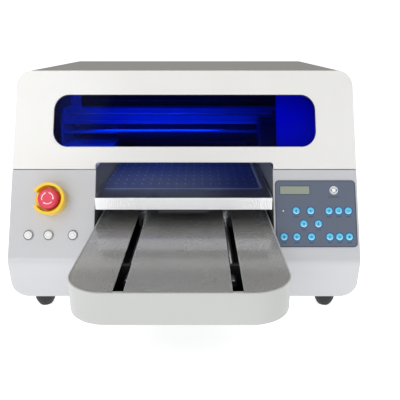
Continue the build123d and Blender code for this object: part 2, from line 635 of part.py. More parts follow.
# ---- X beam: grooved extrusion with an end bracket on each deck and the idler post ----
IDLER_PIN_R = 3.0
IDLER_PIN_L = 13.0
POST_W = 24.0
POST_T = 4.0
POST_Y = BELT_Y + BELT_W / 2 + 3  # front face of the idler post
GROOVE_D, GROOVE_H = 5.0, 6.0
GROOVE_LOW, GROOVE_HIGH = BEAM_LOW + 10, BEAM_LOW + 27
CORE_D, CORE_H = 20.0, 22.0  # hollow core of the extrusion
BRACKET_FOOT = 18.0  # the bracket's foot reaches this far behind the beam
BRACKET_STEP = 6.0
RAIL_WALL = 14.0  # bracket material above the rail
with BuildPart() as x_beam:
    with BuildSketch(Plane.YZ.offset(BEAM_LEFT - BRACKET_T)):
        with Locations((BEAM_Y, BEAM_LOW)):
            Rectangle(BEAM_D, BEAM_TOP - BEAM_LOW, align=Align.MIN)
        with Locations((BEAM_Y, GROOVE_LOW), (BEAM_Y, GROOVE_HIGH)):
            Rectangle(GROOVE_D, GROOVE_H, align=(Align.MIN, Align.CENTER), mode=Mode.SUBTRACT)
        with Locations((BEAM_Y + BEAM_D - BRACKET_T, (BEAM_LOW + BEAM_TOP) / 2)):
            Rectangle(CORE_D, CORE_H, align=(Align.MAX, Align.CENTER), mode=Mode.SUBTRACT)
    extrude(amount=BEAM_RIGHT - BEAM_LEFT + 2 * BRACKET_T)
    for x in (BEAM_LEFT - BRACKET_T, BEAM_RIGHT):
        with BuildSketch(Plane.YZ.offset(x)):
            with BuildLine():
                Polyline((BRACKET_FRONT, DECK_Z + GAP), (BEAM_Y + BEAM_D + BRACKET_FOOT, DECK_Z + GAP),
                         (BEAM_Y + BEAM_D, BEAM_TOP), (BEAM_Y - BRACKET_STEP, BEAM_TOP),
                         (BRACKET_FRONT, RAIL_Z + RAIL_WALL), close=True)
            make_face()
            with Locations((RAIL_Y, RAIL_Z)):
                Circle(RAIL_R + RUN_FIT, mode=Mode.SUBTRACT)
        extrude(amount=BRACKET_T)
    with BuildSketch(Plane.XZ.offset(-POST_Y - POST_T)):
        with Locations((PULLEY_LEFT, BEAM_TOP)):
            Rectangle(POST_W, BELT_Z + POST_W / 2 - BEAM_TOP, align=(Align.CENTER, Align.MIN))
    extrude(amount=POST_T)
    with BuildSketch(Plane.XZ.offset(-POST_Y)):
        with Locations((PULLEY_LEFT, BELT_Z)):
            Circle(IDLER_PIN_R)
    extrude(amount=IDLER_PIN_L)
save(x_beam.part, "x_beam")

# ---- round rail below the beam ----
with BuildPart() as x_rail:
    with BuildSketch(Plane.YZ.offset(BEAM_LEFT - BRACKET_T)):
        with Locations((RAIL_Y, RAIL_Z)):
            Circle(RAIL_R)
    extrude(amount=BEAM_RIGHT - BEAM_LEFT + 2 * BRACKET_T)
save(x_rail.part, "x_rail")

# ---- pulleys with flanges, and the belt round them ----
FLANGE_T = 1.5
FLANGE_LIP = 2.5
for name, x, bore in (("x_drive_pulley", PULLEY_RIGHT, 0.0),
                      ("x_idler_pulley", PULLEY_LEFT, IDLER_PIN_R)):
    with BuildPart() as pulley:
        with BuildSketch(Plane.XZ.offset(-BELT_Y - BELT_W / 2)):
            with Locations((x, BELT_Z)):
                Circle(PULLEY_R)
        extrude(amount=BELT_W)
        for y in (BELT_Y + BELT_W / 2 + FLANGE_T, BELT_Y - BELT_W / 2):
            with BuildSketch(Plane.XZ.offset(-y)):
                with Locations((x, BELT_Z)):
                    Circle(PULLEY_R + FLANGE_LIP)
            extrude(amount=FLANGE_T)
        if bore:
            with BuildSketch(Plane.XZ.offset(-BELT_Y - BELT_W)):
                with Locations((x, BELT_Z)):
                    Circle(bore + RUN_FIT)
            extrude(amount=2 * BELT_W, mode=Mode.SUBTRACT)
        else:
            with BuildSketch(Plane.XZ.offset(-BELT_Y - BELT_W / 2 - MOTOR_BORE)):
                with Locations((x, BELT_Z)):
                    Circle(MOTOR_SHAFT_R)
            extrude(amount=MOTOR_BORE)
    save(pulley.part, name)

with BuildPart() as x_belt:
    with BuildSketch(Plane.XZ.offset(-BELT_Y - BELT_W / 2 + GAP)):
        with Locations(((PULLEY_LEFT + PULLEY_RIGHT) / 2, BELT_Z)):
            SlotCenterToCenter(PULLEY_RIGHT - PULLEY_LEFT, 2 * (PULLEY_R + GAP + BELT_T))
            SlotCenterToCenter(PULLEY_RIGHT - PULLEY_LEFT, 2 * (PULLEY_R + GAP), mode=Mode.SUBTRACT)
    extrude(amount=BELT_W - 2 * GAP)
save(x_belt.part, "x_belt")

# ---- X motor behind the drive pulley, on a foot plate over the beam ----
X_MOTOR_L = 38.0
head_motor = build_motor(X_MOTOR_L)
MOTOR_FRONT = BELT_Y + BELT_W / 2 + FLANGE_T + 4 * GAP
MOTOR_FOOT_T, MOTOR_FOOT_H = 3.0, 8.0
MOTOR_FOOT_SHIFT = 8.0  # the foot plate reaches further to the left than the motor
x_motor_back = MOTOR_FRONT + X_MOTOR_L + MOTOR_BOSS
with BuildPart() as x_motor:
    with Locations(Plane(origin=(PULLEY_RIGHT, x_motor_back, BELT_Z), x_dir=(1, 0, 0), z_dir=(0, -1, 0))):
        add(head_motor.part)
    with BuildSketch(Plane.XZ.offset(-MOTOR_FRONT - MOTOR_BOSS - MOTOR_FOOT_T)):
        with Locations((PULLEY_RIGHT - MOTOR_FOOT_SHIFT, BEAM_TOP + GAP)):
            Rectangle(MOTOR, MOTOR_FOOT_H, align=(Align.CENTER, Align.MIN))
    extrude(amount=MOTOR_FOOT_T)
save(x_motor.part, "x_motor")

# ---- parking cover over the right end of the gantry, open to the left ----
COVER_LEFT, COVER_RIGHT = 182.0, WIDTH / 2 - 13
COVER_TOP, COVER_REAR = HEIGHT - 32, 214.0
COVER_BACK = 41.0  # how far behind the hood face its front lies
COVER_T = 2.0
with BuildPart() as park_cover:
    with BuildSketch(Plane.YZ.offset(COVER_LEFT)):
        Polygon(*behind_face(COVER_BACK, DECK_Z + GAP, COVER_TOP, COVER_REAR), align=None)
    extrude(amount=COVER_RIGHT - COVER_LEFT)
    with BuildSketch(Plane.YZ.offset(COVER_LEFT - CUT)):
        Polygon(*behind_face(COVER_BACK + COVER_T, DECK_Z - CUT, COVER_TOP - COVER_T, COVER_REAR + CUT),
                align=None)
    extrude(amount=COVER_RIGHT - COVER_T - COVER_LEFT + CUT, mode=Mode.SUBTRACT)
save(park_cover.part, "park_cover")

# ---- head carriage: block on the rail with an arm over the beam to the belt ----
HEAD_BODY_LOW = 268.0
HEAD_BODY_TOP = 330.0
HEAD_SLOPE_D, HEAD_SLOPE_H = 16.0, 22.0  # slanted upper front of the block
HEAD_EDGE_R = 1.5
ARM_W = 26.0
ARM_FRONT = BEAM_Y - 12
ARM_LOW = BEAM_TOP + 2  # the arm passes this closely over the beam
ARM_TOP = BEAM_TOP + 7
BLOCK_REAR = BEAM_Y - 2.5
BELT_UNDERSIDE = BELT_Z - PULLEY_R - GAP - BELT_T - GAP
with BuildPart() as head_carriage:
    with BuildSketch(Plane.YZ.offset(HEAD_X - HEAD_HALF)):
        with BuildLine():
            Polyline((HEAD_FRONT, HEAD_BODY_LOW), (BLOCK_REAR, HEAD_BODY_LOW),
                     (BLOCK_REAR, HEAD_BODY_TOP), (HEAD_FRONT + HEAD_SLOPE_D, HEAD_BODY_TOP),
                     (HEAD_FRONT, HEAD_BODY_TOP - HEAD_SLOPE_H), close=True)
        make_face()
        with Locations((RAIL_Y, RAIL_Z)):
            Circle(RAIL_R + RUN_FIT, mode=Mode.SUBTRACT)
    extrude(amount=2 * HEAD_HALF)
    upper = head_carriage.edges().filter_by(Axis.X).filter_by(GeomType.LINE).sort_by(Axis.Z)[-1]
    fillet(upper, HEAD_EDGE_R)
    with BuildSketch(Plane.YZ.offset(HEAD_X - ARM_W / 2)):
        with BuildLine():
            Polyline((ARM_FRONT, HEAD_BODY_TOP), (BLOCK_REAR, HEAD_BODY_TOP), (BLOCK_REAR, ARM_LOW),
                     (BELT_Y + BELT_W / 2, ARM_LOW), (BELT_Y + BELT_W / 2, BELT_UNDERSIDE),
                     (BELT_Y - BELT_W / 2, BELT_UNDERSIDE), (BELT_Y - BELT_W / 2, ARM_TOP),
                     (ARM_FRONT, ARM_TOP), close=True)
        make_face()
    extrude(amount=ARM_W)
save(head_carriage.part, "head_carriage")

# ---- print head with its nozzle plate under the carriage ----
NOZZLE_PLATE_T = 2.0
PRINT_HEAD_W, PRINT_HEAD_D = 50.0, 62.0
NOZZLE_W, NOZZLE_D = 44.0, 54.0
with BuildPart() as print_head:
    with BuildSketch(Plane.XY.offset(HEAD_LOW + NOZZLE_PLATE_T)):
        with Locations((HEAD_X, CAP_Y)):
            RectangleRounded(PRINT_HEAD_W, PRINT_HEAD_D, 3)
    extrude(amount=HEAD_BODY_LOW - GAP - HEAD_LOW - NOZZLE_PLATE_T)
    with BuildSketch(Plane.XY.offset(HEAD_LOW)):
        with Locations((HEAD_X, CAP_Y)):
            RectangleRounded(NOZZLE_W, NOZZLE_D, 2)
    extrude(amount=NOZZLE_PLATE_T)
save(print_head.part, "print_head")

# ---- UV lamp on the left side of the carriage, finned above ----
LAMP_W, LAMP_D, LAMP_H = 34.0, 64.0, 58.0
LAMP_LOW = HEAD_LOW + 3
LAMP_X = HEAD_X - HEAD_HALF - GAP - LAMP_W / 2
LAMP_Y = CAP_Y - 5
FIN_PITCH, FIN_GAP, FIN_H = 8.0, 4.0, 28.0
FIN_ROOT = 3.0  # the fins grow from a web this thick
with BuildPart() as uv_lamp:
    with BuildSketch(Plane.XY.offset(LAMP_LOW)):
        with Locations((LAMP_X, LAMP_Y)):
            RectangleRounded(LAMP_W, LAMP_D, 2)
    extrude(amount=LAMP_H)
    with BuildSketch(Plane.XY.offset(LAMP_LOW + LAMP_H - FIN_H)):
        with Locations((LAMP_X - FIN_ROOT, LAMP_Y)):
            with GridLocations(1, FIN_PITCH, 1, 8):
                Rectangle(LAMP_W, FIN_GAP)
    extrude(amount=FIN_H, mode=Mode.SUBTRACT)
save(uv_lamp.part, "uv_lamp")

# ---- capping station in the well of the right deck ----
CAP_BODY_LOW = 222.0
CAP_TOP = HEAD_LOW - 2
LIP_W, LIP_D, LIP_H, LIP_T = 40.0, 50.0, 1.4, 3.0
CAP_POST_W, CAP_POST_D = 20.0, 40.0
with BuildPart() as cap_station:
    with BuildSketch(Plane.XY.offset(CAP_BODY_LOW)):
        with Locations((HEAD_X, CAP_Y)):
            RectangleRounded(CAP_W, CAP_D, 3)
    extrude(amount=CAP_TOP - CAP_BODY_LOW)
    with BuildSketch(Plane.XY.offset(CAP_TOP)):
        with Locations((HEAD_X, CAP_Y)):
            RectangleRounded(LIP_W, LIP_D, 3)
            RectangleRounded(LIP_W - 2 * LIP_T, LIP_D - 2 * LIP_T, 2, mode=Mode.SUBTRACT)
    extrude(amount=LIP_H)
    with BuildSketch(Plane.XY.offset(PAN_TOP + GAP)):
        with Locations((HEAD_X, CAP_Y)):
            Rectangle(CAP_POST_W, CAP_POST_D)
    extrude(amount=CAP_BODY_LOW - PAN_TOP - GAP)
save(cap_station.part, "cap_station")

# ================= inside the housings =================

# ---- six ink tanks in one moulded row, left ----
TANKS = 6
TANK_H, TANK_L, TANK_W, TANK_PITCH = 120.0, 96.0, 34.0, 38.0
TANK_BASE_L, TANK_BASE_H = 104.0, 6.0
TANKS_X, TANKS_Y = -240.0, 120.0
NECK_X, NECK_R, NECK_H = -216.0, 11.0, 16.0
with BuildPart() as ink_tanks:
    with BuildSketch(Plane.XY.offset(PAN_TOP + GAP)):
        with Locations((TANKS_X, TANKS_Y)):
            Rectangle(TANK_BASE_L, TANKS * TANK_PITCH)
    extrude(amount=TANK_BASE_H)
    with BuildSketch(Plane.XY.offset(PAN_TOP + GAP + TANK_BASE_H)):
        with Locations((TANKS_X, TANKS_Y)):
            with GridLocations(1, TANK_PITCH, 1, TANKS):
                RectangleRounded(TANK_L, TANK_W, 4)
    extrude(amount=TANK_H)
    with BuildSketch(Plane.XY.offset(PAN_TOP + GAP + TANK_BASE_H + TANK_H)):
        with Locations((NECK_X, TANKS_Y)):
            with GridLocations(1, TANK_PITCH, 1, TANKS):
                Circle(NECK_R)
    extrude(amount=NECK_H)
save(ink_tanks.part, "ink_tanks")

# ---- power supply, right rear, with a field of vent holes in its lid ----
SUPPLY_X, SUPPLY_Y = 236.0, 258.0
SUPPLY_W, SUPPLY_L, SUPPLY_H = 100.0, 200.0, 46.0
HOLE_R, HOLE_DEPTH = 2.6, 1.5
HOLE_PITCH_X, HOLE_PITCH_Y = 14.0, 9.0
with BuildPart() as power_supply:
    with BuildSketch(Plane.XY.offset(PAN_TOP + GAP)):
        with Locations((SUPPLY_X, SUPPLY_Y)):
            Rectangle(SUPPLY_W, SUPPLY_L)
    extrude(amount=SUPPLY_H)
    with BuildSketch(Plane.XY.offset(PAN_TOP + GAP + SUPPLY_H)):
        with Locations((SUPPLY_X, SUPPLY_Y)):
            with GridLocations(HOLE_PITCH_X, HOLE_PITCH_Y, 5, 14):
                Circle(HOLE_R)
    extrude(amount=-HOLE_DEPTH, mode=Mode.SUBTRACT)
save(power_supply.part, "power_supply")

# ---- main board upright beside the channel wall, right ----
BOARD_X, BOARD_Y, BOARD_Z = 176.0, 40.0, 125.0
BOARD_L, BOARD_H, BOARD_T = 180.0, 140.0, 1.6
SCREW_HOLE_R, SCREW_HOLE_IN = 1.8, 6.0
CHIP_H = 6.0
CHIP_W = 28.0
RELAY_L, RELAY_W = 16.0, 12.0
PLUG_L, PLUG_W, PLUG_PITCH = 20.0, 8.0, 26.0
with BuildPart() as main_board:
    with BuildSketch(Plane.YZ.offset(BOARD_X)):
        with Locations((BOARD_Y, BOARD_Z)):
            RectangleRounded(BOARD_L, BOARD_H, 3)
            with GridLocations(BOARD_L - 2 * SCREW_HOLE_IN, BOARD_H - 2 * SCREW_HOLE_IN, 2, 2):
                Circle(SCREW_HOLE_R, mode=Mode.SUBTRACT)
    extrude(amount=BOARD_T)
    with BuildSketch(Plane.YZ.offset(BOARD_X + BOARD_T)):
        with Locations((BOARD_Y - 10, BOARD_Z + 10)):
            Rectangle(CHIP_W, CHIP_W)
        with Locations((BOARD_Y + 40, BOARD_Z - 5)):
            with GridLocations(1, 30, 1, 3):
                Rectangle(RELAY_L, RELAY_W)
        with Locations((BOARD_Y, BOARD_Z - BOARD_H / 2 + 9)):
            with GridLocations(PLUG_PITCH, 1, 6, 1):
                Rectangle(PLUG_L, PLUG_W)
    extrude(amount=CHIP_H)
save(main_board.part, "main_board")

# ================= controls =================

# ---- emergency stop: open guard, stem that is pushed in, head that turns to release ----
with BuildPart() as estop_guard:
    with BuildSketch(face_plane(ESTOP_X, ESTOP_Z, RUN_FIT)):
        Circle(GUARD_R)
        Circle(STEM_R + RUN_FIT, mode=Mode.SUBTRACT)
    extrude(amount=GUARD_BASE)
    with BuildSketch(face_plane(ESTOP_X, ESTOP_Z, RUN_FIT + GUARD_BASE)):
        Circle(GUARD_R)
        Circle(GUARD_R - GUARD_T, mode=Mode.SUBTRACT)
        with Locations((-GUARD_R, 0)):
            Rectangle(2 * GUARD_R, GUARD_OPENING, mode=Mode.SUBTRACT)
    extrude(amount=GUARD_H - GUARD_BASE)
save(estop_guard.part, "estop_guard")

SPINDLE_R = 4.0
SPINDLE_L = 10.0
SPINDLE_BORE = 12.0
STEM_BACK = 24.0  # the stem reaches this far behind the face
HEAD_T = 13.0
HEAD_TOP_R = 6.0
with BuildPart() as estop_stem:
    with BuildSketch(face_plane(ESTOP_X, ESTOP_Z, STEM_TOP)):
        Circle(STEM_R)
    extrude(amount=-STEM_TOP - STEM_BACK)
    with BuildSketch(face_plane(ESTOP_X, ESTOP_Z, STEM_TOP)):
        Circle(SPINDLE_R + RUN_FIT)
    extrude(amount=-SPINDLE_BORE, mode=Mode.SUBTRACT)
save(estop_stem.part, "estop_stem")

with BuildPart() as estop_head:
    with BuildSketch(face_plane(ESTOP_X, ESTOP_Z, STEM_TOP + GAP)):
        Circle(HEAD_R)
    extrude(amount=HEAD_T)
    fillet(estop_head.faces().sort_by(OUTWARD)[-1].edges(), HEAD_TOP_R)
    with BuildSketch(face_plane(ESTOP_X, ESTOP_Z, STEM_TOP + GAP)):
        Circle(SPINDLE_R)
    extrude(amount=-SPINDLE_L)
save(estop_head.part, "estop_head")

# ---- three push buttons in threaded metal bezels ----
with BuildPart() as button_bezels:
    for x in BUTTONS_X:
        with BuildSketch(face_plane(x, BUTTON_Z, RUN_FIT)):
            Circle(BEZEL_R)
        extrude(amount=BEZEL_T)
        with BuildSketch(face_plane(x, BUTTON_Z, RUN_FIT)):
            Circle(BARREL_R)
        extrude(amount=-BARREL_L)
        with BuildSketch(face_plane(x, BUTTON_Z, BEZEL_T + CUT)):
            Circle(BUTTON_R + RUN_FIT)
        extrude(amount=-BUTTON_BORE, mode=Mode.SUBTRACT)
save(button_bezels.part, "button_bezels")

for number, x in enumerate(BUTTONS_X, start=1):
    with BuildPart() as push_button:
        with BuildSketch(face_plane(x, BUTTON_Z, BUTTON_TOP)):
            Circle(BUTTON_R)
        extrude(amount=-BUTTON_L)
        fillet(push_button.faces().sort_by(OUTWARD)[-1].edges(), BUTTON_EDGE_R)
    save(push_button.part, f"push_button_{number}")

# ---- membrane panel, its display window and the thirteen keys ----
PANEL_Z = (PANEL_TOP + PANEL_LOW) / 2
with BuildPart() as control_panel:
    with BuildSketch(face_plane(PANEL_X, PANEL_Z, RUN_FIT)):
        RectangleRounded(PANEL_W, (PANEL_TOP - PANEL_LOW) / cos(TILT), PANEL_R)
        with Locations((LCD_X - PANEL_X, (LCD_Z - PANEL_Z) / cos(TILT))):
            Rectangle(LCD_W + 2 * RUN_FIT, LCD_H + 2 * RUN_FIT, mode=Mode.SUBTRACT)
        for z, xs in KEY_ROWS:
            with Locations([(x - PANEL_X, (z - PANEL_Z) / cos(TILT)) for x in xs]):
                Circle(KEY_R + KEY_SLACK, mode=Mode.SUBTRACT)
    extrude(amount=PANEL_T)
save(control_panel.part, "control_panel")

with BuildPart() as lcd_window:
    with BuildSketch(face_plane(LCD_X, LCD_Z, RUN_FIT)):
        Rectangle(LCD_W, LCD_H)
    extrude(amount=LCD_T)
save(lcd_window.part, "lcd_window")

number = 0
for z, xs in KEY_ROWS:
    for x in xs:
        number += 1
        with BuildPart() as key:
            with BuildSketch(face_plane(x, z, PANEL_T + KEY_PROUD)):
                Circle(KEY_R)
            extrude(amount=-KEY_L)
            fillet(key.faces().sort_by(OUTWARD)[-1].edges(), KEY_EDGE_R)
        save(key.part, f"key_{number:02d}")

# ================= back fittings =================

# ---- cooling fan ----
FAN_BACK = BACK_Y - PAN_T - GAP
FAN_CORNER_R = 5.0
FAN_HOLE_R, FAN_HOLE_PITCH = 2.2, 71.5
HUB_R = 15.0
SPIDER_T, SPIDER_W = 3.0, 4.0
PIN_L = 12.0
with BuildPart() as fan_frame:
    with BuildSketch(Plane.XZ.offset(-FAN_BACK)):
        with Locations((FAN_X, FAN_Z)):
            RectangleRounded(FAN_SIZE, FAN_SIZE, FAN_CORNER_R)
            Circle(FAN_BORE, mode=Mode.SUBTRACT)
            with GridLocations(FAN_HOLE_PITCH, FAN_HOLE_PITCH, 2, 2):
                Circle(FAN_HOLE_R, mode=Mode.SUBTRACT)
    extrude(amount=FAN_T)
    with BuildSketch(Plane.XZ.offset(FAN_T - SPIDER_T - FAN_BACK)):
        with Locations((FAN_X, FAN_Z)):
            Circle(HUB_R)
            with PolarLocations(0, 3, start_angle=45):
                Rectangle(FAN_BORE + CUT, SPIDER_W, align=(Align.MIN, Align.CENTER))
    extrude(amount=SPIDER_T)
    with BuildSketch(Plane.XZ.offset(FAN_T - SPIDER_T - FAN_BACK)):
        with Locations((FAN_X, FAN_Z)):
            Circle(PIN_R)
    extrude(amount=-PIN_L)
save(fan_frame.part, "fan_frame")

BLADES = 7
BLADE_W, BLADE_T, BLADE_L = 17.0, 1.6, 22.5
BLADE_ROOT_R = 14.0
BLADE_PITCH = 0.9
HUB_IN = 1.5  # the hub starts this far inside the frame
HUB_L = 20.0
BLADE_Y = FAN_BACK - HUB_IN - HUB_L / 2
with BuildPart() as fan_rotor:
    with BuildSketch(Plane.XZ.offset(HUB_IN - FAN_BACK)):
        with Locations((FAN_X, FAN_Z)):
            Circle(HUB_R)
    extrude(amount=HUB_L)
    for blade in range(BLADES):
        turn = 2 * pi * blade / BLADES
        root = Plane(origin=(FAN_X + BLADE_ROOT_R * cos(turn), BLADE_Y, FAN_Z + BLADE_ROOT_R * sin(turn)),
                     x_dir=(-sin(turn), -BLADE_PITCH, cos(turn)), z_dir=(cos(turn), 0, sin(turn)))
        with BuildSketch(root):
            Rectangle(BLADE_W, BLADE_T)
        extrude(amount=BLADE_L)
    with BuildSketch(Plane.XZ.offset(-FAN_BACK)):
        with Locations((FAN_X, FAN_Z)):
            Circle(PIN_R + RUN_FIT)
    extrude(amount=FAN_T, mode=Mode.SUBTRACT)
save(fan_rotor.part, "fan_rotor")

# ---- power inlet with the rocker switch above it ----
INLET_RIM = 4.0
INLET_L = 26.0
SOCKET_W, SOCKET_H, SOCKET_DEPTH = 22.0, 16.0, 18.0
SOCKET_Z = INLET_Z - 10
BLADE_PIN_W, BLADE_PIN_H, BLADE_PIN_L = 2.0, 4.0, 16.0
SOCKET_FLOOR = 3.0  # the contacts end this far inside
ROCKER_Z = INLET_Z + 13
ROCKER_AXIS_Y = REAR_Y - 6.5
ROCKER_W = 17.6
RECESS_W, RECESS_H, RECESS_DEPTH = 19.0, 13.0, 14.0
PIVOT_R = 1.5
PIVOT_L = 20.0
with BuildPart() as power_inlet:
    with BuildSketch(Plane.XZ.offset(-REAR_Y)):
        with Locations((INLET_X, INLET_Z)):
            RectangleRounded(INLET_W + 2 * INLET_RIM, INLET_H + 2 * INLET_RIM, 3)
    extrude(amount=REAR_Y - BACK_Y - RUN_FIT)
    with BuildSketch(Plane.XZ.offset(-REAR_Y + CUT)):
        with Locations((INLET_X, INLET_Z)):
            Rectangle(INLET_W, INLET_H)
    extrude(amount=INLET_L)
    with BuildSketch(Plane.XZ.offset(-REAR_Y)):
        with Locations((INLET_X, SOCKET_Z)):
            RectangleRounded(SOCKET_W, SOCKET_H, 3)
    extrude(amount=SOCKET_DEPTH, mode=Mode.SUBTRACT)
    with BuildSketch(Plane.XZ.offset(-REAR_Y + SOCKET_FLOOR)):
        with Locations((INLET_X - 7, SOCKET_Z - 2), (INLET_X, SOCKET_Z + 2), (INLET_X + 7, SOCKET_Z - 2)):
            Rectangle(BLADE_PIN_W, BLADE_PIN_H)
    extrude(amount=BLADE_PIN_L)
    with BuildSketch(Plane.XZ.offset(-REAR_Y)):
        with Locations((INLET_X, ROCKER_Z)):
            Rectangle(RECESS_W, RECESS_H)
    extrude(amount=RECESS_DEPTH, mode=Mode.SUBTRACT)
    with BuildSketch(Plane.YZ.offset(INLET_X - PIVOT_L / 2 - GAP)):
        with Locations((ROCKER_AXIS_Y, ROCKER_Z)):
            Circle(PIVOT_R + RUN_FIT)
    extrude(amount=PIVOT_L + 2 * GAP, mode=Mode.SUBTRACT)
save(power_inlet.part, "power_inlet")

ROCKER_LEAN = 8 * pi / 180  # lower half stands out while the switch is off
ROCKER_SECTION = [(5.3, 5.2), (3.2, 0), (5.3, -5.2), (0, -4.6), (-3, 0), (0, 4.6)]
with BuildPart() as rocker_switch:
    with BuildSketch(Plane(origin=(INLET_X - ROCKER_W / 2, ROCKER_AXIS_Y, ROCKER_Z),
                           x_dir=(0, cos(ROCKER_LEAN), sin(ROCKER_LEAN)), z_dir=(1, 0, 0))):
        Polygon(*ROCKER_SECTION, align=None)
    extrude(amount=ROCKER_W)
    with BuildSketch(Plane.YZ.offset(INLET_X - PIVOT_L / 2)):
        with Locations((ROCKER_AXIS_Y, ROCKER_Z)):
            Circle(PIVOT_R)
    extrude(amount=PIVOT_L)
save(rocker_switch.part, "rocker_switch")

# ================= hood =================

# ---- slanted front with the window opening ----
STEP_R = 5.0  # rounded corners of the step over the channel
PAST = 9.0  # cutting bodies of the hood reach this far past it
half = WIDTH / 2
step = CHANNEL_X + CUT
wall_run = SHEET / cos(TILT)
WINDOW_MID = (WINDOW_TOP + WINDOW_LOW) / 2
with BuildPart() as hood_front:
    with BuildSketch(Plane.XZ) as front_outline:
        with BuildLine():
            Polyline((-half, DECK_Z + SEAM), (-step, DECK_Z + SEAM), (-step, HOOD_SPLIT),
                     (step, HOOD_SPLIT), (step, DECK_Z + SEAM), (half, DECK_Z + SEAM),
                     (half, HEIGHT), (-half, HEIGHT), close=True)
        make_face()
        fillet(front_outline.vertices().group_by(Axis.Y)[-1], TOP_R)
        fillet(front_outline.vertices().filter_by(lambda v: abs(v.Y - HOOD_SPLIT) < GAP), STEP_R)
        with Locations((0, WINDOW_MID)):
            RectangleRounded(2 * WINDOW_HALF, WINDOW_TOP - WINDOW_LOW, WINDOW_R, mode=Mode.SUBTRACT)
    extrude(amount=-face_y(DECK_Z) + PAST)
    with BuildSketch(Plane.YZ.offset(-half - CUT)):
        Polygon((face_y(DECK_Z - PAST), DECK_Z - PAST),
                (face_y(DECK_Z - PAST) + wall_run, DECK_Z - PAST),
                (face_y(HEIGHT + PAST) + wall_run, HEIGHT + PAST),
                (face_y(HEIGHT + PAST), HEIGHT + PAST), align=None)
    extrude(amount=WIDTH + 2 * CUT, mode=Mode.INTERSECT)
    fillet(hood_front.faces().sort_by(OUTWARD)[-1].edges(), EDGE_R)
save(hood_front.part, "hood_front")

# ---- top and sides of the hood with the moving half of the hinge ----
with BuildPart() as hood_shell:
    with BuildSketch(Plane.XZ.offset(-HOOD_REAR)) as arch:
        with Locations((0, DECK_Z + SEAM)):
            Rectangle(WIDTH, HEIGHT - DECK_Z - SEAM, align=(Align.CENTER, Align.MIN))
        fillet(arch.vertices().group_by(Axis.Y)[-1], TOP_R)
        with Locations((0, DECK_Z)):
            Rectangle(WIDTH - 2 * SHEET, HEIGHT - SHEET - DECK_Z - TOP_R, align=(Align.CENTER, Align.MIN),
                      mode=Mode.SUBTRACT)
        with Locations((0, HEIGHT - SHEET)):
            RectangleRounded(WIDTH - 2 * SHEET, 3 * TOP_R, TOP_R - SHEET, align=(Align.CENTER, Align.MAX),
                             mode=Mode.SUBTRACT)
    extrude(amount=HOOD_REAR - face_y(DECK_Z) + PAST)
    with BuildSketch(Plane.YZ.offset(-half - CUT)):
        Polygon(*behind_face(SHEET + RUN_FIT, DECK_Z, HEIGHT + CUT, HOOD_REAR + CUT), align=None)
    extrude(amount=WIDTH + 2 * CUT, mode=Mode.INTERSECT)
    for x0, x1 in zip(KNUCKLE_ENDS[1::2], KNUCKLE_ENDS[2::2]):
        with BuildSketch(Plane.YZ.offset(x0 + KNUCKLE_GAP)):
            with Locations((HINGE_Y, HINGE_Z)):
                Circle(HINGE_R)
            with Locations((HINGE_Y, HEIGHT - SHEET)):
                Rectangle(MOVING_LEAF_L, LEAF_T, align=Align.MAX)
            with Locations((HINGE_Y, HINGE_Z)):
                Circle(PIN_R + RUN_FIT, mode=Mode.SUBTRACT)
        extrude(amount=x1 - x0 - 2 * KNUCKLE_GAP)
save(hood_shell.part, "hood_shell")

# ---- tinted window behind the opening ----
with BuildPart() as hood_window:
    with BuildSketch(face_plane(0, WINDOW_MID, -SHEET - RUN_FIT)):
        RectangleRounded(2 * (WINDOW_HALF + WINDOW_LAP),
                         (WINDOW_TOP - WINDOW_LOW) / cos(TILT) + 2 * WINDOW_LAP,
                         WINDOW_R + WINDOW_LAP)
    extrude(amount=-WINDOW_T)
save(hood_window.part, "hood_window")
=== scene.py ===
import json
import logging
import math
from dataclasses import dataclass, field
from enum import Enum
from typing import Callable, Iterable, Sequence

import bmesh
import bpy
from mathutils import Matrix, Vector


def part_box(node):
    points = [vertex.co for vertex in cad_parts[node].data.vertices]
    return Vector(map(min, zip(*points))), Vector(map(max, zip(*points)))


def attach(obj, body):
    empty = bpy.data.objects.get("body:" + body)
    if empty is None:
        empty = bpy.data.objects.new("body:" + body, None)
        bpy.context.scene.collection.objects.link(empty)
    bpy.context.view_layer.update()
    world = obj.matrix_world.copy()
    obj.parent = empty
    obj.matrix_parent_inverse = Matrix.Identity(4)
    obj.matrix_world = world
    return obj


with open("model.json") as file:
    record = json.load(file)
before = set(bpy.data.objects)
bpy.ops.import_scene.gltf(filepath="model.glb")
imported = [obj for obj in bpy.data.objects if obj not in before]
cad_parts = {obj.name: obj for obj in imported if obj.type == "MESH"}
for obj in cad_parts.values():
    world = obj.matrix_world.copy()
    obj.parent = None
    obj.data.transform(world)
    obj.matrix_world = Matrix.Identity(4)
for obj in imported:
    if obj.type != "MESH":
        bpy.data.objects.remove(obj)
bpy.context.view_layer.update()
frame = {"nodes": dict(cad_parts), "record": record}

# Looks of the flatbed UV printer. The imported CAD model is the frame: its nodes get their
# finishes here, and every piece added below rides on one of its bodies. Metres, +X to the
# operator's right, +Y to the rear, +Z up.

log = logging.getLogger("flatbed_uv_printer")

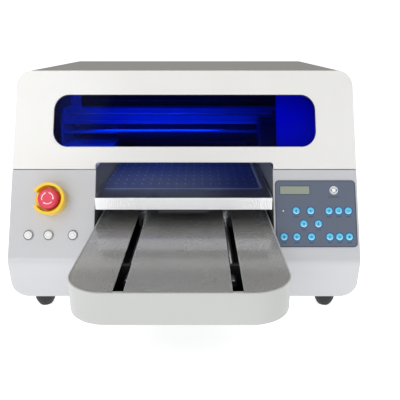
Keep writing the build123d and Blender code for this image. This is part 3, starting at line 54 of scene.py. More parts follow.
MM = 0.001
HEIGHT = 430 * MM
TOP_FRONT_Y = -11 * MM
SLANT = 0.5
TILT = math.atan(SLANT)
LIFT_OFF = 0.06 * MM  # printed layers stand this far off what they lie on
CREASE = math.radians(35)  # edges sharper than this stay sharp
ARC_STEP = 6  # degrees of an arc in one flat step
PANEL_OUT = 1.25 * MM  # outer surface of the membrane panel above the slanted face
KEY_OUT = 2.2 * MM  # top of the keys above the slanted face
DOT_PITCH_X, DOT_PITCH_Y, DOT_R = 17 * MM, 31 * MM, 1.4 * MM  # dots printed on the table top
LINE_HALF = 0.25 * MM
TICK_PITCH, TICK_HALF, TICK_L = 5 * MM, 0.5 * MM, 5 * MM
BED_SIDE, BED_RULER_X, BED_RULER_Y = 6 * MM, 15 * MM, 59 * MM  # print field inside the table's edges
FIELD_FADE = 6 * MM  # half of the soft border of the blue film
FIELD_FRONT = (-24 * MM, 2 * MM)  # where the film fades out before the front ruler
KEY_R = 6.5 * MM
KEY_ROWS = (
    (184.3 * MM, (208.5, 235.5, 269.5, 287.5, 305.5)),
    (162.5 * MM, (222.0, 249.0)),
    (141.0 * MM, (185.0, 208.5, 235.5, 269.5, 287.5, 305.5)),
)


# ------------------------------------------------------------------ finishes


class Grain(Enum):
    """Surface texture of a finish."""

    NONE = "none"
    ORANGE_PEEL = "orange_peel"
    HAMMERTONE = "hammertone"
    FINE = "fine"
    BRUSHED_X = "brushed_x"


@dataclass(frozen=True)
class Finish:
    """How one material looks.

    Args:
        color: linear base colour.
        roughness: Principled roughness.
        metallic: 0 for paint and plastics, 1 for bare metal.
        grain: surface texture.
        depth: strength of that texture.
        coat: clear coat weight.
        coat_roughness: how blurred the coat's reflections are.
        wear: share of bare colour along the edges.
        dust: how much dust lies on what faces up.
        glow: emission strength of the base colour.
    """

    color: tuple[float, float, float]
    roughness: float = 0.5
    metallic: float = 0.0
    grain: Grain = Grain.NONE
    depth: float = 0.2
    coat: float = 0.0
    coat_roughness: float = 0.12
    wear: float = 0.0
    dust: float = 0.0
    glow: float = 0.0


FINISHES: dict[str, Finish] = {
    "base_sheet": Finish((0.50, 0.51, 0.53), 0.45, grain=Grain.ORANGE_PEEL, depth=0.15),
    "rubber": Finish((0.012, 0.012, 0.013), 0.62, grain=Grain.FINE, depth=0.2, dust=0.15),
    "housing_grey": Finish((0.59, 0.595, 0.62), 0.34, grain=Grain.ORANGE_PEEL, depth=0.20, wear=0.05,
                           coat=0.25, coat_roughness=0.16),
    "channel_grey": Finish((0.17, 0.172, 0.178), 0.42, grain=Grain.FINE, depth=0.15, dust=0.1),
    "frame_black": Finish((0.003, 0.003, 0.003), 0.85),
    "tray_hammer": Finish((0.41, 0.405, 0.395), 0.26, metallic=0.5, grain=Grain.HAMMERTONE, depth=0.8,
                          coat=1.0, coat_roughness=0.12),
    "skirt_grey": Finish((0.50, 0.51, 0.50), 0.38, grain=Grain.ORANGE_PEEL, depth=0.10),
    "chrome": Finish((0.80, 0.81, 0.83), 0.28, metallic=1.0),
    "steel": Finish((0.50, 0.50, 0.52), 0.28, metallic=1.0, grain=Grain.FINE, depth=0.05),
    "motor_black": Finish((0.02, 0.02, 0.022), 0.45, grain=Grain.FINE, depth=0.2),
    "beam_silver": Finish((0.72, 0.74, 0.78), 0.30, metallic=0.9, grain=Grain.BRUSHED_X, depth=0.25),
    "belt_rubber": Finish((0.015, 0.015, 0.015), 0.7),
    "cover_metal": Finish((0.72, 0.73, 0.75), 0.40, grain=Grain.ORANGE_PEEL, depth=0.1),
    "dark_plastic": Finish((0.03, 0.032, 0.038), 0.5, grain=Grain.FINE, depth=0.2),
    "tank_plastic": Finish((0.75, 0.76, 0.74), 0.3, coat=0.2),
    "board_green": Finish((0.012, 0.09, 0.04), 0.4, coat=0.3),
    "head_metal": Finish((0.06, 0.06, 0.065), 0.45, metallic=0.3, grain=Grain.BRUSHED_X, depth=0.1),
    "guard_yellow": Finish((0.95, 0.60, 0.005), 0.28, coat=0.35),
    "stop_red": Finish((0.74, 0.025, 0.075), 0.30, coat=0.4),
    "stem_black": Finish((0.015, 0.015, 0.016), 0.45, grain=Grain.FINE, depth=0.1),
    "button_silver": Finish((0.92, 0.92, 0.92), 0.25, metallic=0.15, coat=0.3),
    "panel_blue": Finish((0.105, 0.132, 0.190), 0.40, grain=Grain.FINE, depth=0.04, coat=0.15),
    "lcd_green": Finish((0.27, 0.31, 0.24), 0.22, coat=0.5),
    "key_cyan": Finish((0.085, 0.58, 0.86), 0.3, coat=0.35),
    "hood_white": Finish((0.85, 0.845, 0.825), 0.30, coat=0.3, grain=Grain.ORANGE_PEEL, depth=0.03),
    # The hood's top: its dark warm grey is painted shade, the darker tone that falls on the top of the hood,
    # given as colour.
    "hood_taupe": Finish((0.28, 0.275, 0.248), 0.42, grain=Grain.FINE, depth=0.06, dust=0.05),
    "legend_white": Finish((0.92, 0.92, 0.93), 0.35),
    "legend_dark": Finish((0.02, 0.03, 0.06), 0.5),
    "legend_blue": Finish((0.01, 0.09, 0.32), 0.35, coat=0.3),
    "gasket": Finish((0.01, 0.01, 0.011), 0.75, grain=Grain.FINE, depth=0.1),
    # Used for bright metal plates, and for the painted highlight strips along the tray's slots.
    "bright_edge": Finish((0.72, 0.72, 0.72), 0.25, metallic=0.6),
    "lamp_strip": Finish((0.75, 0.85, 1.0), 0.4, glow=62.0),
    "led_red": Finish((0.30, 0.05, 0.04), 0.25, coat=0.6),
    "lamp_violet": Finish((0.10, 0.03, 0.30), 0.1, coat=0.8),
    "copper": Finish((0.72, 0.36, 0.18), 0.3, metallic=1.0),
    "ink_black": Finish((0.01, 0.01, 0.012), 0.3, coat=0.3),
    "ink_cyan": Finish((0.0, 0.30, 0.60), 0.3, coat=0.3),
    "ink_magenta": Finish((0.55, 0.01, 0.22), 0.3, coat=0.3),
    "ink_yellow": Finish((0.85, 0.62, 0.01), 0.3, coat=0.3),
    "ink_white": Finish((0.85, 0.85, 0.85), 0.3, coat=0.3),
    "ink_clear": Finish((0.55, 0.58, 0.60), 0.2, coat=0.3),
}


# ------------------------------------------------------------------ shader node groups


class Tree:
    """Short ways to add and link nodes in one node tree."""

    def __init__(self, tree: bpy.types.NodeTree) -> None:
        self.tree = tree

    def node(self, kind: str, **inputs: object) -> bpy.types.Node:
        """Add a node and set its inputs by name, with underscores for spaces.

        Args:
            kind: Blender's node type.
            inputs: values, or sockets to link from.

        Returns:
            The new node.
        """
        new = self.tree.nodes.new(kind)
        for name, value in inputs.items():
            self.feed(new.inputs[name.replace("_", " ")], value)
        return new

    def feed(self, socket: bpy.types.NodeSocket, value: object) -> None:
        """Set a socket to a value, or link another socket to it."""
        if isinstance(value, bpy.types.NodeSocket):
            self.tree.links.new(value, socket)
        else:
            socket.default_value = value

    def math(self, operation: str, a: object, b: object = 0.0, c: object = 0.0) -> bpy.types.NodeSocket:
        """Add a math node.

        Args:
            operation: Blender's operation name.
            a: first operand.
            b: second operand.
            c: third operand.

        Returns:
            Its output.
        """
        new = self.tree.nodes.new("ShaderNodeMath")
        new.operation = operation
        for socket, value in zip(new.inputs, (a, b, c)):
            self.feed(socket, value)
        return new.outputs[0]

    def mix(self, factor: object, a: object, b: object) -> bpy.types.NodeSocket:
        """Mix two colours by factor and return the result."""
        new = self.tree.nodes.new("ShaderNodeMix")
        new.data_type = "RGBA"
        self.feed(new.inputs[0], factor)
        self.feed(new.inputs[6], a)
        self.feed(new.inputs[7], b)
        return new.outputs[2]

    def object_coords(self) -> bpy.types.NodeSocket:
        """Object coordinates, in metres."""
        return self.tree.nodes.new("ShaderNodeTexCoord").outputs["Object"]

    def ramp(self, value: object, low: float, high: float) -> bpy.types.NodeSocket:
        """Clamp value so that low gives 0 and high gives 1."""
        new = self.tree.nodes.new("ShaderNodeMapRange")
        self.feed(new.inputs["Value"], value)
        new.inputs["From Min"].default_value = low
        new.inputs["From Max"].default_value = high
        return new.outputs[0]


def new_group(name: str, inputs: Sequence[tuple[str, str, object]],
              outputs: Sequence[tuple[str, str]]) -> tuple[bpy.types.NodeTree, Tree, dict, bpy.types.Node]:
    """Start a shader node group.

    Args:
        name: its name.
        inputs: (name, socket type, default) of each input.
        outputs: (name, socket type) of each output.

    Returns:
        The group, a Tree for it, its input sockets by name and its output node.
    """
    group = bpy.data.node_groups.new(name, "ShaderNodeTree")
    for label, kind, default in inputs:
        socket = group.interface.new_socket(name=label, in_out="INPUT", socket_type=kind)
        socket.default_value = default
    for label, kind in outputs:
        group.interface.new_socket(name=label, in_out="OUTPUT", socket_type=kind)
    source = group.nodes.new("NodeGroupInput")
    sink = group.nodes.new("NodeGroupOutput")
    return group, Tree(group), {s.name: s for s in source.outputs}, sink


FLOAT, COLOR, VECTOR = "NodeSocketFloat", "NodeSocketColor", "NodeSocketVector"


def grain_group(grain: Grain) -> bpy.types.NodeTree:
    """Build the bump, tone and roughness change of one surface texture."""
    group, t, ins, sink = new_group(
        f"grain_{grain.value}", [("Depth", FLOAT, 0.2)],
        [("Normal", VECTOR), ("Tone", FLOAT), ("Roughness", FLOAT)],
    )
    coords = t.object_coords()
    if grain is Grain.HAMMERTONE:
        cells = t.node("ShaderNodeTexVoronoi", Vector=coords, Scale=420.0, Randomness=1.0)
        cells.feature = "SMOOTH_F1"
        height = t.ramp(cells.outputs["Distance"], 0.0, 0.75)
        distance = 0.0006
    elif grain is Grain.ORANGE_PEEL:
        height = t.node("ShaderNodeTexNoise", Vector=coords, Scale=650.0, Detail=2.0).outputs[0]
        distance = 0.0005
    elif grain is Grain.BRUSHED_X:
        stretched = t.node("ShaderNodeVectorMath", Vector=coords)
        stretched.operation = "MULTIPLY"
        stretched.inputs[1].default_value = (3.0, 900.0, 900.0)
        height = t.node("ShaderNodeTexNoise", Vector=stretched.outputs[0], Scale=1.0, Detail=2.0).outputs[0]
        distance = 0.0003
    else:
        height = t.node("ShaderNodeTexNoise", Vector=coords, Scale=1600.0, Detail=1.0).outputs[0]
        distance = 0.0002
    bump = t.node("ShaderNodeBump", Strength=ins["Depth"], Distance=distance, Height=height)
    broad = t.node("ShaderNodeTexNoise", Vector=coords, Scale=9.0, Detail=3.0).outputs[0]
    t.feed(sink.inputs["Normal"], bump.outputs[0])
    t.feed(sink.inputs["Tone"], t.ramp(t.math("ADD", broad, t.math("MULTIPLY", height, 0.35)), 0.2, 1.2))
    t.feed(sink.inputs["Roughness"], t.math("MULTIPLY_ADD", broad, 0.10, -0.05))
    return group


def wear_group() -> bpy.types.NodeTree:
    """Build the lighter line that handling leaves along edges."""
    group, t, ins, sink = new_group(
        "edge_wear", [("Color", COLOR, (0.5, 0.5, 0.5, 1)), ("Amount", FLOAT, 0.1)], [("Color", COLOR)],
    )
    rounded = t.node("ShaderNodeBevel", Radius=0.0012)
    rounded.samples = 4
    true = t.tree.nodes.new("ShaderNodeNewGeometry").outputs["True Normal"]
    same = t.node("ShaderNodeVectorMath", Vector=rounded.outputs[0])
    same.operation = "DOT_PRODUCT"
    t.feed(same.inputs[1], true)
    edge = t.ramp(same.outputs["Value"], 1.0, 0.85)
    patch = t.node("ShaderNodeTexNoise", Vector=t.object_coords(), Scale=60.0, Detail=4.0).outputs[0]
    mask = t.math("MULTIPLY", t.math("MULTIPLY", edge, t.ramp(patch, 0.35, 0.65)), ins["Amount"])
    t.feed(sink.inputs["Color"], t.mix(mask, ins["Color"], (0.9, 0.9, 0.92, 1.0)))
    return group


def dust_group() -> bpy.types.NodeTree:
    """Build the thin dust on surfaces that face up."""
    group, t, ins, sink = new_group(
        "dust", [("Color", COLOR, (0.5, 0.5, 0.5, 1)), ("Amount", FLOAT, 0.1)], [("Color", COLOR)],
    )
    normal = t.tree.nodes.new("ShaderNodeTexCoord").outputs["Normal"]
    upward = t.node("ShaderNodeSeparateXYZ", Vector=normal).outputs[2]
    cloud = t.node("ShaderNodeTexNoise", Vector=t.object_coords(), Scale=24.0, Detail=5.0).outputs[0]
    mask = t.math("MULTIPLY", t.math("MULTIPLY", t.ramp(upward, 0.2, 1.0), t.ramp(cloud, 0.4, 0.8)),
                  ins["Amount"])
    t.feed(sink.inputs["Color"], t.mix(mask, ins["Color"], (0.42, 0.40, 0.37, 1.0)))
    return group


def grid_group(left: float, right: float, front: float) -> bpy.types.NodeTree:
    """Build the printed dot grid and rulers of the table top.

    Args:
        left: X where the front ruler starts.
        right: X of the side ruler.
        front: Y of the front ruler.

    Returns:
        A group with the print mask and the printable field as its outputs.
    """
    group, t, _, sink = new_group("table_print", [], [("Mask", FLOAT), ("Field", FLOAT)])
    x, y, _ = t.node("ShaderNodeSeparateXYZ", Vector=t.object_coords()).outputs
    behind = t.math("SUBTRACT", y, front)

    def near(value: object, at: float, half: float) -> bpy.types.NodeSocket:
        return t.math("LESS_THAN", t.math("ABSOLUTE", t.math("SUBTRACT", value, at)), half)

    def every(value: object, pitch: float, half: float) -> bpy.types.NodeSocket:
        return t.math("LESS_THAN", t.math("ABSOLUTE", t.math("WRAP", value, pitch / 2, -pitch / 2)), half)

    def both(*parts: object) -> bpy.types.NodeSocket:
        result = parts[0]
        for part in parts[1:]:
            result = t.math("MULTIPLY", result, part)
        return result

    middle, reach = (left + right) / 2, (right - left) / 2
    across = near(x, middle, reach)
    deep = t.math("GREATER_THAN", behind, 0.0)
    dx = t.math("WRAP", x, DOT_PITCH_X / 2, -DOT_PITCH_X / 2)
    dy = t.math("WRAP", behind, DOT_PITCH_Y / 2, -DOT_PITCH_Y / 2)
    radius = t.math("SQRT", t.math("ADD", t.math("MULTIPLY", dx, dx), t.math("MULTIPLY", dy, dy)))
    dots = both(t.math("LESS_THAN", radius, DOT_R), across, t.math("GREATER_THAN", behind, DOT_PITCH_Y / 4))
    front_line = both(near(y, front, LINE_HALF), across)
    front_ticks = both(every(x, TICK_PITCH, TICK_HALF), near(y, front - TICK_L / 2, TICK_L / 2), across)
    side_line = both(near(x, right, LINE_HALF), deep)
    side_ticks = both(every(behind, TICK_PITCH, TICK_HALF), near(x, right + TICK_L / 2, TICK_L / 2), deep)
    total = dots
    for part in (front_line, front_ticks, side_line, side_ticks):
        total = t.math("MAXIMUM", total, part)
    t.feed(sink.inputs["Mask"], total)
    off_middle = t.math("ABSOLUTE", t.math("SUBTRACT", x, middle))
    field_x = t.ramp(off_middle, reach + FIELD_FADE, reach - FIELD_FADE)
    t.feed(sink.inputs["Field"], t.math("MULTIPLY", field_x, t.ramp(behind, *FIELD_FRONT)))
    return group


@dataclass
class MaterialLibrary:
    """Makes each material once and hands it out by name."""

    made: dict[str, bpy.types.Material] = field(default_factory=dict)
    groups: dict[str, bpy.types.NodeTree] = field(default_factory=dict)

    def group(self, name: str, build: Callable[[], bpy.types.NodeTree]) -> bpy.types.NodeTree:
        """Return the shared group called name, built on first use."""
        if name not in self.groups:
            self.groups[name] = build()
        return self.groups[name]

    def use(self, t: Tree, group: bpy.types.NodeTree) -> bpy.types.Node:
        """Add a group node that shows group."""
        node = t.tree.nodes.new("ShaderNodeGroup")
        node.node_tree = group
        return node

    def start(self, name: str) -> tuple[bpy.types.Material, Tree, bpy.types.Node]:
        """Make an empty material with a Principled node wired to its output."""
        material = bpy.data.materials.new(name)
        material.use_nodes = True
        material.node_tree.nodes.clear()
        t = Tree(material.node_tree)
        shader = t.node("ShaderNodeBsdfPrincipled")
        t.node("ShaderNodeOutputMaterial", Surface=shader.outputs[0])
        self.made[name] = material
        return material, t, shader

    def get(self, name: str) -> bpy.types.Material:
        """Return the material called name.

        Args:
            name: a key of FINISHES, or "bed_blue" or "window_blue".

        Returns:
            The material, made on first use.
        """
        if name in self.made:
            return self.made[name]
        if name == "bed_blue":
            return self.bed()
        if name == "window_blue":
            return self.window()
        return self.plain(name, FINISHES[name])

    def plain(self, name: str, finish: Finish) -> bpy.types.Material:
        """Make a material from a Finish."""
        material, t, shader = self.start(name)
        color: object = (*finish.color, 1.0)
        shader.inputs["Roughness"].default_value = finish.roughness
        shader.inputs["Metallic"].default_value = finish.metallic
        shader.inputs["Coat Weight"].default_value = finish.coat
        shader.inputs["Coat Roughness"].default_value = finish.coat_roughness
        if finish.grain is not Grain.NONE:
            grain = self.use(t, self.group(finish.grain.value, lambda: grain_group(finish.grain)))
            grain.inputs["Depth"].default_value = finish.depth
            darker = tuple(c * 0.93 for c in finish.color) + (1.0,)
            color = t.mix(grain.outputs["Tone"], darker, color)
            t.feed(shader.inputs["Normal"], grain.outputs["Normal"])
            t.feed(shader.inputs["Roughness"], t.math("ADD", grain.outputs["Roughness"], finish.roughness))
        if finish.wear:
            wear = self.use(t, self.group("wear", wear_group))
            t.feed(wear.inputs["Color"], color)
            wear.inputs["Amount"].default_value = finish.wear
            color = wear.outputs["Color"]
        if finish.dust:
            dust = self.use(t, self.group("dust", dust_group))
            t.feed(dust.inputs["Color"], color)
            dust.inputs["Amount"].default_value = finish.dust
            color = dust.outputs["Color"]
        t.feed(shader.inputs["Base Color"], color)
        if finish.glow:
            shader.inputs["Emission Color"].default_value = (*finish.color, 1.0)
            shader.inputs["Emission Strength"].default_value = finish.glow
        return material

    def bed(self) -> bpy.types.Material:
        """Make the table top: blue anodised face with printed grid, milled bright edges."""
        material, t, shader = self.start("bed_blue")
        low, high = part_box("table_top")
        left, right, front = low[0] + BED_SIDE, high[0] - BED_RULER_X, low[1] + BED_RULER_Y
        printing = self.group("table_print", lambda: grid_group(left, right, front))
        print_mask = self.use(t, printing)
        normal = t.tree.nodes.new("ShaderNodeTexCoord").outputs["Normal"]
        top = t.ramp(t.node("ShaderNodeSeparateXYZ", Vector=normal).outputs[2], 0.85, 0.95)
        cloud = t.node("ShaderNodeTexNoise", Vector=t.object_coords(), Scale=6.0, Detail=3.0).outputs[0]
        film = t.mix(cloud, (0.001, 0.006, 0.060, 1.0), (0.005, 0.020, 0.150, 1.0))
        blue = t.mix(print_mask.outputs["Field"], (0.020, 0.020, 0.042, 1.0), film)
        printed = t.mix(print_mask.outputs["Mask"], blue, (0.55, 0.66, 0.85, 1.0))
        t.feed(shader.inputs["Base Color"], t.mix(top, (0.97, 0.98, 0.99, 1.0), printed))
        swirl = t.node("ShaderNodeTexWave", Vector=t.object_coords(), Scale=70.0, Distortion=14.0, Detail=1.0)
        patch = t.node("ShaderNodeTexNoise", Vector=t.object_coords(), Scale=11.0, Detail=1.0).outputs[0]
        t.feed(shader.inputs["Metallic"], t.math("MULTIPLY_ADD", top, 0.10, 0.10))
        t.feed(shader.inputs["Roughness"], t.math("MULTIPLY_ADD", swirl.outputs["Fac"], 0.08, 0.30))
        milled = t.math("MULTIPLY", t.math("SUBTRACT", 1.0, top), t.ramp(patch, 0.42, 0.72))
        bump = t.node("ShaderNodeBump", Strength=milled, Distance=0.0007, Height=swirl.outputs["Fac"])
        t.feed(shader.inputs["Normal"], bump.outputs[0])
        return material

    def window(self) -> bpy.types.Material:
        """Make the tinted window: it filters what is seen through it and mirrors a little.

        Other surfaces mirror it nearly dark, so that no blue cast falls on the tray.
        """
        material, t, shader = self.start("window_blue")
        t.tree.nodes.remove(shader)
        path = t.node("ShaderNodeLightPath")
        seen = t.mix(path.outputs["Is Glossy Ray"], (0.003, 0.15, 0.95, 1.0), (0.03, 0.04, 0.06, 1.0))
        tint = t.node("ShaderNodeBsdfTransparent", Color=seen)
        gloss = t.node("ShaderNodeBsdfGlossy", Color=(0.9, 0.92, 1.0, 1.0), Roughness=0.03)
        facing = t.node("ShaderNodeFresnel", IOR=1.33)
        both = t.node("ShaderNodeMixShader")
        t.feed(both.inputs[0], t.math("MULTIPLY", facing.outputs[0], 0.12))
        t.feed(both.inputs[1], tint.outputs[0])
        t.feed(both.inputs[2], gloss.outputs[0])
        output = next(n for n in t.tree.nodes if n.type == "OUTPUT_MATERIAL")
        t.feed(output.inputs["Surface"], both.outputs[0])
        return material


# ------------------------------------------------------------------ mesh building


def face_matrix(x: float, z: float, out: float = 0.0) -> Matrix:
    """Matrix of a spot on the slanted face.

    Args:
        x: metres to the right.
        z: metres up.
        out: metres out of the face.

    Returns:
        Local X runs right, local Y up the slope and local Z out of the machine.
    """
    normal = Vector((0, -math.cos(TILT), math.sin(TILT)))
    up = Vector((0, math.sin(TILT), math.cos(TILT)))
    origin = Vector((x, TOP_FRONT_Y - SLANT * (HEIGHT - z), z)) + normal * out
    matrix = Matrix((Vector((1, 0, 0)), up, normal)).transposed().to_4x4()
    matrix.translation = origin
    return matrix


def at_mm(x: float, y: float, z: float = 0.0) -> Matrix:
    """Matrix that moves by so many millimetres."""
    return Matrix.Translation((x * MM, y * MM, z * MM))


def turned(degrees: float) -> Matrix:
    """Matrix that turns about local Z."""
    return Matrix.Rotation(math.radians(degrees), 4, "Z")


def facing_rear(x: float, y: float, z: float) -> Matrix:
    """Matrix at a spot on the back, in millimetres, with local Z pointing to the rear."""
    return at_mm(x, y, z) @ Matrix.Rotation(-math.pi / 2, 4, "X")


def unique(items: Iterable) -> list:
    """The items, each once, in the order in which they come."""
    return list(dict.fromkeys(items))


class Shape:
    """One mesh under construction; every method works in a local frame given by a matrix."""

    def __init__(self) -> None:
        self.bm = bmesh.new()

    def _place(self, verts: Iterable[bmesh.types.BMVert], matrix: Matrix) -> None:
        bmesh.ops.transform(self.bm, matrix=matrix, verts=list(verts))

    def _raise(self, faces: Sequence[bmesh.types.BMFace], height: float, matrix: Matrix) -> None:
        """Turn flat faces into a closed body of that height and place it."""
        lower = unique(v for f in faces for v in f.verts)
        made = bmesh.ops.extrude_face_region(self.bm, geom=list(faces), use_keep_orig=True)["geom"]
        upper = [v for v in made if isinstance(v, bmesh.types.BMVert)]
        bmesh.ops.translate(self.bm, verts=upper, vec=(0, 0, height))
        self._place(lower + upper, matrix)

    def disc(self, matrix: Matrix, radius: float, height: float, segments: int = 32) -> None:
        """Add a cylinder that stands on the local XY plane."""
        made = bmesh.ops.create_circle(self.bm, cap_ends=True, radius=radius, segments=segments)
        self._raise(unique(f for v in made["verts"] for f in v.link_faces), height, matrix)

    def ring(self, matrix: Matrix, inner: float, outer: float, height: float, segments: int = 40) -> None:
        """Add a flat ring that stands on the local XY plane."""
        edges = []
        for radius in (inner, outer):
            made = bmesh.ops.create_circle(self.bm, cap_ends=False, radius=radius, segments=segments)
            edges += unique(e for v in made["verts"] for e in v.link_edges)
        faces = bmesh.ops.bridge_loops(self.bm, edges=edges)["faces"]
        self._raise(faces, height, matrix)

    def prism(self, matrix: Matrix, points: Sequence[tuple[float, float]], height: float) -> None:
        """Add a straight prism over a polygon."""
        verts = [self.bm.verts.new((x, y, 0)) for x, y in points]
        self._raise([self.bm.faces.new(verts)], height, matrix)

    def bar(self, matrix: Matrix, width: float, depth: float, height: float, bevel: float = 0.0) -> None:
        """Add a block, centred in X and Y, that stands on the local XY plane."""
        made = bmesh.ops.create_cube(self.bm, size=1.0)["verts"]
        bmesh.ops.scale(self.bm, vec=(width, depth, height), verts=made)
        bmesh.ops.translate(self.bm, vec=(0, 0, height / 2), verts=made)
        self._place(made, matrix)
        if bevel:
            edges = unique(e for v in made for e in v.link_edges)
            bmesh.ops.bevel(self.bm, geom=edges, offset=bevel, segments=2, profile=0.5, affect="EDGES",
                            material=-1)

    def arc(self, matrix: Matrix, inner: float, outer: float, start: float, end: float,
            height: float) -> None:
        """Add a band along an arc; start and end are degrees."""
        turn = Matrix.Rotation(math.radians(start), 3, "Z")
        ends = [self.bm.verts.new(turn @ Vector((radius, 0, 0))) for radius in (inner, outer)]
        edge = self.bm.edges.new(ends)
        before = set(self.bm.faces)
        bmesh.ops.spin(self.bm, geom=[*ends, edge], cent=(0, 0, 0), axis=(0, 0, 1),
                       angle=math.radians(end - start), steps=max(4, int(abs(end - start) / ARC_STEP)))
        self._raise([f for f in self.bm.faces if f not in before], height, matrix)

    def frame(self, matrix: Matrix, width: float, depth: float, corner: float, band: float,
              height: float) -> None:
        """Add a rounded rectangular frame; band is its width, outwards from width x depth."""
        face = self._rounded(width + 2 * band, depth + 2 * band, corner + band)
        rim = bmesh.ops.inset_region(self.bm, faces=[face], thickness=band, use_boundary=True,
                                     use_even_offset=True)["faces"]
        bmesh.ops.delete(self.bm, geom=[face], context="FACES_ONLY")
        self._raise(rim, height, matrix)

    def plate(self, matrix: Matrix, width: float, depth: float, corner: float, height: float) -> None:
        """Add a rounded plate, centred in X and Y, that stands on the local XY plane."""
        self._raise([self._rounded(width, depth, corner)], height, matrix)

    def _rounded(self, width: float, depth: float, corner: float) -> bmesh.types.BMFace:
        """Add a flat rounded rectangle and return its face."""
        before = set(self.bm.faces)
        spots = ((-1, -1), (1, -1), (1, 1), (-1, 1))
        verts = [self.bm.verts.new((x * width / 2, y * depth / 2, 0)) for x, y in spots]
        self.bm.faces.new(verts)
        bmesh.ops.bevel(self.bm, geom=verts, offset=corner, offset_type="OFFSET", segments=6, profile=0.5,
                        affect="VERTICES", material=-1)
        return next(f for f in self.bm.faces if f not in before)

    def hoop(self, start: Vector, middle: Vector, axis: Vector, radius: float, angle: float) -> None:
        """Add a round wire bent about an axis through middle, capped at both ends."""
        made = bmesh.ops.create_circle(self.bm, cap_ends=True, radius=radius, segments=10)["verts"]
        along = axis.cross(start - middle)
        self._place(made, Matrix.Translation(start) @ along.to_track_quat("Z", "Y").to_matrix().to_4x4())
        face = next(iter(made[0].link_faces))
        cap = bmesh.ops.duplicate(self.bm, geom=[face, *face.edges, *face.verts])["geom"]
        loose = [g for g in cap if isinstance(g, bmesh.types.BMFace)]
        bmesh.ops.spin(self.bm, geom=loose, cent=middle, axis=axis, angle=math.radians(angle), steps=14)
        bmesh.ops.remove_doubles(self.bm, verts=self.bm.verts[:], dist=1e-6)

    def save(self, name: str, material: str, body: str, library: MaterialLibrary) -> None:
        """Turn the mesh into an object that rides on a body.

        Args:
            name: object name.
            material: finish name; its slot in SLOT_OF is looked up but not used.
            body: CAD body that it moves with.
            library: where the material comes from.
        """
        bmesh.ops.recalc_face_normals(self.bm, faces=self.bm.faces[:])
        for face in self.bm.faces:
            face.smooth = True
        for edge in self.bm.edges:
            edge.smooth = edge.is_manifold and edge.calc_face_angle(0.0) < CREASE
        mesh = bpy.data.meshes.new(name)
        self.bm.to_mesh(mesh)
        self.bm.free()
        mesh.materials.append(library.get(material))
        piece = bpy.data.objects.new(name, mesh)
        bpy.context.scene.collection.objects.link(piece)
        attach(piece, body)
        SLOT_OF.get(material, material)


SLOT_OF = {
    "legend_white": "key_cyan",
    "legend_dark": "panel_blue",
    "legend_blue": "key_cyan",
    "gasket": "rubber",
    "bright_edge": "tray_hammer",
    "lamp_strip": "cover_metal",
    "led_red": "stop_red",
    "lamp_violet": "head_metal",
    "copper": "board_green",
}
SLOT_OF |= {name: "tank_plastic" for name in FINISHES if name.startswith("ink_")}


# ------------------------------------------------------------------ sub-assemblies


class Icon(Enum):
    """Pictogram on a key."""

    LEFT = "left"
    RIGHT = "right"
    UP = "up"
    DOWN = "down"
    PLUS = "plus"
    MINUS = "minus"
    SQUARE = "square"
    BARS = "bars"
    RING = "ring"


KEY_ICONS = (
    Icon.UP, Icon.LEFT, Icon.PLUS, Icon.RING, Icon.MINUS,
    Icon.RIGHT, Icon.DOWN,
    Icon.SQUARE, Icon.LEFT, Icon.RIGHT, Icon.BARS, Icon.RING, Icon.SQUARE,
)


@dataclass
class Assembly:
    """A group of added pieces."""

    library: MaterialLibrary

    def add(self, shape: Shape, name: str, material: str, body: str = "chassis") -> None:
        """Save a finished shape as a piece that rides on body."""
        shape.save(name, material, body, self.library)


